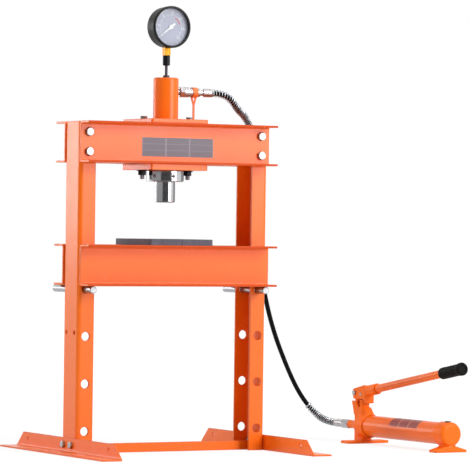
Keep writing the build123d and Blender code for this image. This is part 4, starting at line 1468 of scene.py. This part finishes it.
@dataclass
class Studio:
    """Camera at the photographed angle, soft light and a plain white floor."""

    target: Point = (192.64, 0.0, 534.33)
    azimuth_deg: float = -28.97
    elevation_deg: float = 0.15
    roll_deg: float = 0.78
    distance: float = 8300.6
    lens: float = 255.33
    sensor: float = 36.0
    far_clip: float = 60.0
    aim: Point = (0.2, 0.0, 0.55)
    near_reach: float = 0.17
    near_heights: Span = (0.5, 0.69)
    card_steps: int = 24
    fill: float = 0.2
    floor_half: float = 16.0
    floor_grey: float = 0.86
    shadow_grey: float = 0.24
    shade_reach: Span = (1.2, 4.0)
    floor_glow: Span = (0.80, 0.97)

    def camera(self) -> None:
        """Adds the camera."""
        a, e, r = (math.radians(v) for v in (self.azimuth_deg, self.elevation_deg, self.roll_deg))
        back = Vector((math.sin(a) * math.cos(e), -math.cos(a) * math.cos(e), math.sin(e)))
        right = Vector((math.cos(a), math.sin(a), 0.0))
        up = back.cross(right)
        leaned = right * math.cos(r) + up * math.sin(r)
        upright = up * math.cos(r) - right * math.sin(r)
        data = bpy.data.cameras.new("photo_camera")
        data.sensor_fit = "HORIZONTAL"
        data.sensor_width = self.sensor
        data.lens = self.lens
        data.clip_end = self.far_clip
        camera = bpy.data.objects.new("photo_camera", data)
        bpy.context.scene.collection.objects.link(camera)
        spot = mm(*self.target) + back * self.distance * MM
        camera.matrix_world = Matrix.Translation(spot) @ Matrix((leaned, upright, back)).transposed().to_4x4()
        bpy.context.scene.camera = camera

    def lamp(
        self, name: str, bearing_deg: float, height: float, size: Span, power: float, reach: float = 5.0,
        shows: bool = True,
    ) -> None:
        """Adds a soft rectangular lamp that faces the press.

        Args:
            name: Name of the lamp.
            bearing_deg: Direction from the press, 0 at its front and 90 on its right.
            height: Height of the lamp's middle in metres.
            size: Width and height in metres.
            power: Power in watts.
            reach: Distance of the lamp's middle in metres.
            shows: Whether reflections show it.
        """
        a = math.radians(bearing_deg)
        spot = Vector((math.sin(a) * reach, -math.cos(a) * reach, height))
        data = bpy.data.lights.new(name, "AREA")
        data.shape = "RECTANGLE"
        data.size, data.size_y = size
        data.energy = power
        lamp = bpy.data.objects.new(name, data)
        bpy.context.scene.collection.objects.link(lamp)
        lamp.location = spot
        lamp.rotation_euler = (Vector(self.aim) - spot).to_track_quat("-Z", "Y").to_euler()
        lamp.visible_camera = False
        lamp.visible_glossy = shows

    def lamps(self) -> None:
        """Adds the key lamp, a low lamp for the sheen of the front, and the weaker ones."""
        self.lamp("key_lamp", bearing_deg=30.0, height=2.95, size=(2.6, 2.3), power=175.0)
        self.lamp("low_front_lamp", bearing_deg=30.0, height=1.02, size=(2.4, 0.36), power=40.0)
        self.lamp("left_lamp", bearing_deg=-96.0, height=1.2, size=(1.6, 2.2), power=80.0, shows=False)
        self.lamp("rear_lamp", bearing_deg=-151.0, height=1.35, size=(0.9, 1.7), power=30.0)
        self.lamp("top_lamp", bearing_deg=20.0, height=4.2, size=(3.0, 3.0), power=90.0, reach=0.6)

    def card(
        self, name: str, bearings_deg: Span, grey: float, heights: Span = (0.0, 2.6), reach: float = 5.6
    ) -> None:
        """Adds a curved dark card that only reflections show, so that bright metal has dark bands.

        Args:
            name: Name of the card.
            bearings_deg: Its two ends, as directions from the press.
            grey: How bright it looks, where 1 is white.
            heights: Its lower and upper edge in metres.
            reach: Distance from the middle of the press in metres.
        """
        first, last = bearings_deg
        spots: list[Vector] = []
        for i in range(self.card_steps + 1):
            a = math.radians(first + (last - first) * i / self.card_steps)
            way = Vector((math.sin(a), -math.cos(a), 0.0)) * reach
            spots += [way + UP * height for height in heights]
        material = empty_material("dark_studio_card")
        tree = material.node_tree
        even = add(tree, "ShaderNodeEmission", {"Color": WHITE, "Strength": grey}).outputs["Emission"]
        add(tree, "ShaderNodeOutputMaterial", {"Surface": even})
        faces = [(2 * i, 2 * i + 2, 2 * i + 3, 2 * i + 1) for i in range(self.card_steps)]
        card = self.sheet(name, spots, faces, material)
        card.visible_camera = card.visible_diffuse = card.visible_shadow = card.visible_transmission = False

    def cards(self) -> None:
        """Adds the wide cards round the studio and two near ones beside the ram."""
        self.card("front_card", bearings_deg=(-50.0, 14.0), grey=0.06)
        self.card("left_card", bearings_deg=(-118.0, -50.0), grey=0.15)
        self.card("right_card", bearings_deg=(14.0, 47.0), grey=0.04, heights=(1.22, 1.78))
        near = {"heights": self.near_heights, "reach": self.near_reach}
        self.card("near_left_card", bearings_deg=(-108.0, -50.0), grey=0.42, **near)
        self.card("near_right_card", bearings_deg=(74.0, 122.0), grey=0.36, **near)

    @staticmethod
    def sheet(
        name: str, spots: Sequence[Vector], faces: Sequence[tuple[int, ...]], material: bpy.types.Material
    ) -> bpy.types.Object:
        """Adds a sheet that belongs to the studio.

        Args:
            name: Name of the sheet.
            spots: Its corners in metres.
            faces: Corner numbers of each face.
            material: What it wears.

        Returns:
            The new object.
        """
        mesh = bpy.data.meshes.new(name)
        mesh.from_pydata(spots, [], faces)
        mesh.materials.append(material)
        sheet = bpy.data.objects.new(name, mesh)
        bpy.context.scene.collection.objects.link(sheet)
        return sheet

    @staticmethod
    def seen_rays(tree: Tree) -> Socket:
        """Mask of rays that show the background: camera, glossy and transmission rays.

        Args:
            tree: Node tree of the world or of a material.

        Returns:
            Output that is 1 for those rays.
        """
        rays = add(tree, "ShaderNodeLightPath").outputs
        sockets = {0: rays["Is Camera Ray"], 1: rays["Is Glossy Ray"]}
        seen = add(tree, "ShaderNodeMath", sockets, operation="MAXIMUM").outputs[0]
        sockets = {0: seen, 1: rays["Is Transmission Ray"]}
        return add(tree, "ShaderNodeMath", sockets, operation="MAXIMUM").outputs[0]

    def room(self) -> None:
        """Adds the world: white where it is seen, and a weak fill light."""
        world = bpy.data.worlds.new("white_room")
        bpy.context.scene.world = world
        world.use_nodes = True
        tree = world.node_tree
        tree.nodes.clear()
        fill, white = (
            add(tree, "ShaderNodeBackground", {"Color": WHITE, "Strength": strength}).outputs["Background"]
            for strength in (self.fill, 1.0)
        )
        mix = add(tree, "ShaderNodeMixShader", {0: self.seen_rays(tree), 1: fill, 2: white}).outputs["Shader"]
        add(tree, "ShaderNodeOutputWorld", {"Surface": mix})

    def floor(self) -> None:
        """Adds the white floor, which keeps a soft shadow."""
        material = empty_material("white_studio_floor")
        tree = material.node_tree
        matt, faint = (
            add(tree, "ShaderNodeBsdfDiffuse", {"Color": (grey, grey, grey, 1)}).outputs["BSDF"]
            for grey in (self.floor_grey, self.shadow_grey)
        )
        place = add(tree, "ShaderNodeTexCoord").outputs["Object"]
        reach = add(tree, "ShaderNodeVectorMath", {0: place}, operation="LENGTH").outputs["Value"]
        ends = zip(("From Min", "From Max", "To Min", "To Max"), self.shade_reach + self.floor_glow)
        sockets = {"Value": reach, **dict(ends)}
        white = add(tree, "ShaderNodeMapRange", sockets).outputs["Result"]
        glow = add(tree, "ShaderNodeEmission", {"Color": WHITE, "Strength": white}).outputs["Emission"]
        both = add(tree, "ShaderNodeAddShader", {0: faint, 1: glow}).outputs["Shader"]
        mix = add(tree, "ShaderNodeMixShader", {0: self.seen_rays(tree), 1: matt, 2: both}).outputs["Shader"]
        add(tree, "ShaderNodeOutputMaterial", {"Surface": mix})
        half = self.floor_half
        spots = [Vector((x, y, 0)) for x, y in ((-half, -half), (half, -half), (half, half), (-half, half))]
        self.sheet("studio_floor", spots, [(0, 1, 2, 3)], material)

    def build(self) -> None:
        """Sets up camera, light and floor."""
        bpy.context.scene.view_settings.view_transform = "Standard"
        self.camera()
        self.lamps()
        self.cards()
        self.room()
        self.floor()


def corners(box: Sequence[Sequence[float]]) -> list[list[float]]:
    """Two corners of a box as plain numbers."""
    return [[float(value) for value in corner] for corner in box]


def main() -> None:
    """Builds and dresses each sub-assembly, then the studio."""
    logging.basicConfig(level=logging.INFO)
    for assembly in (PressFrame(), WorkTable(), PressHead(), PressureGauge(), HandPump(), HoseLine()):
        assembly.build()
        assembly.dress()
        log.info("%s is done", type(assembly).__name__)
    Studio().build()


if __name__ == "__main__":
    main()
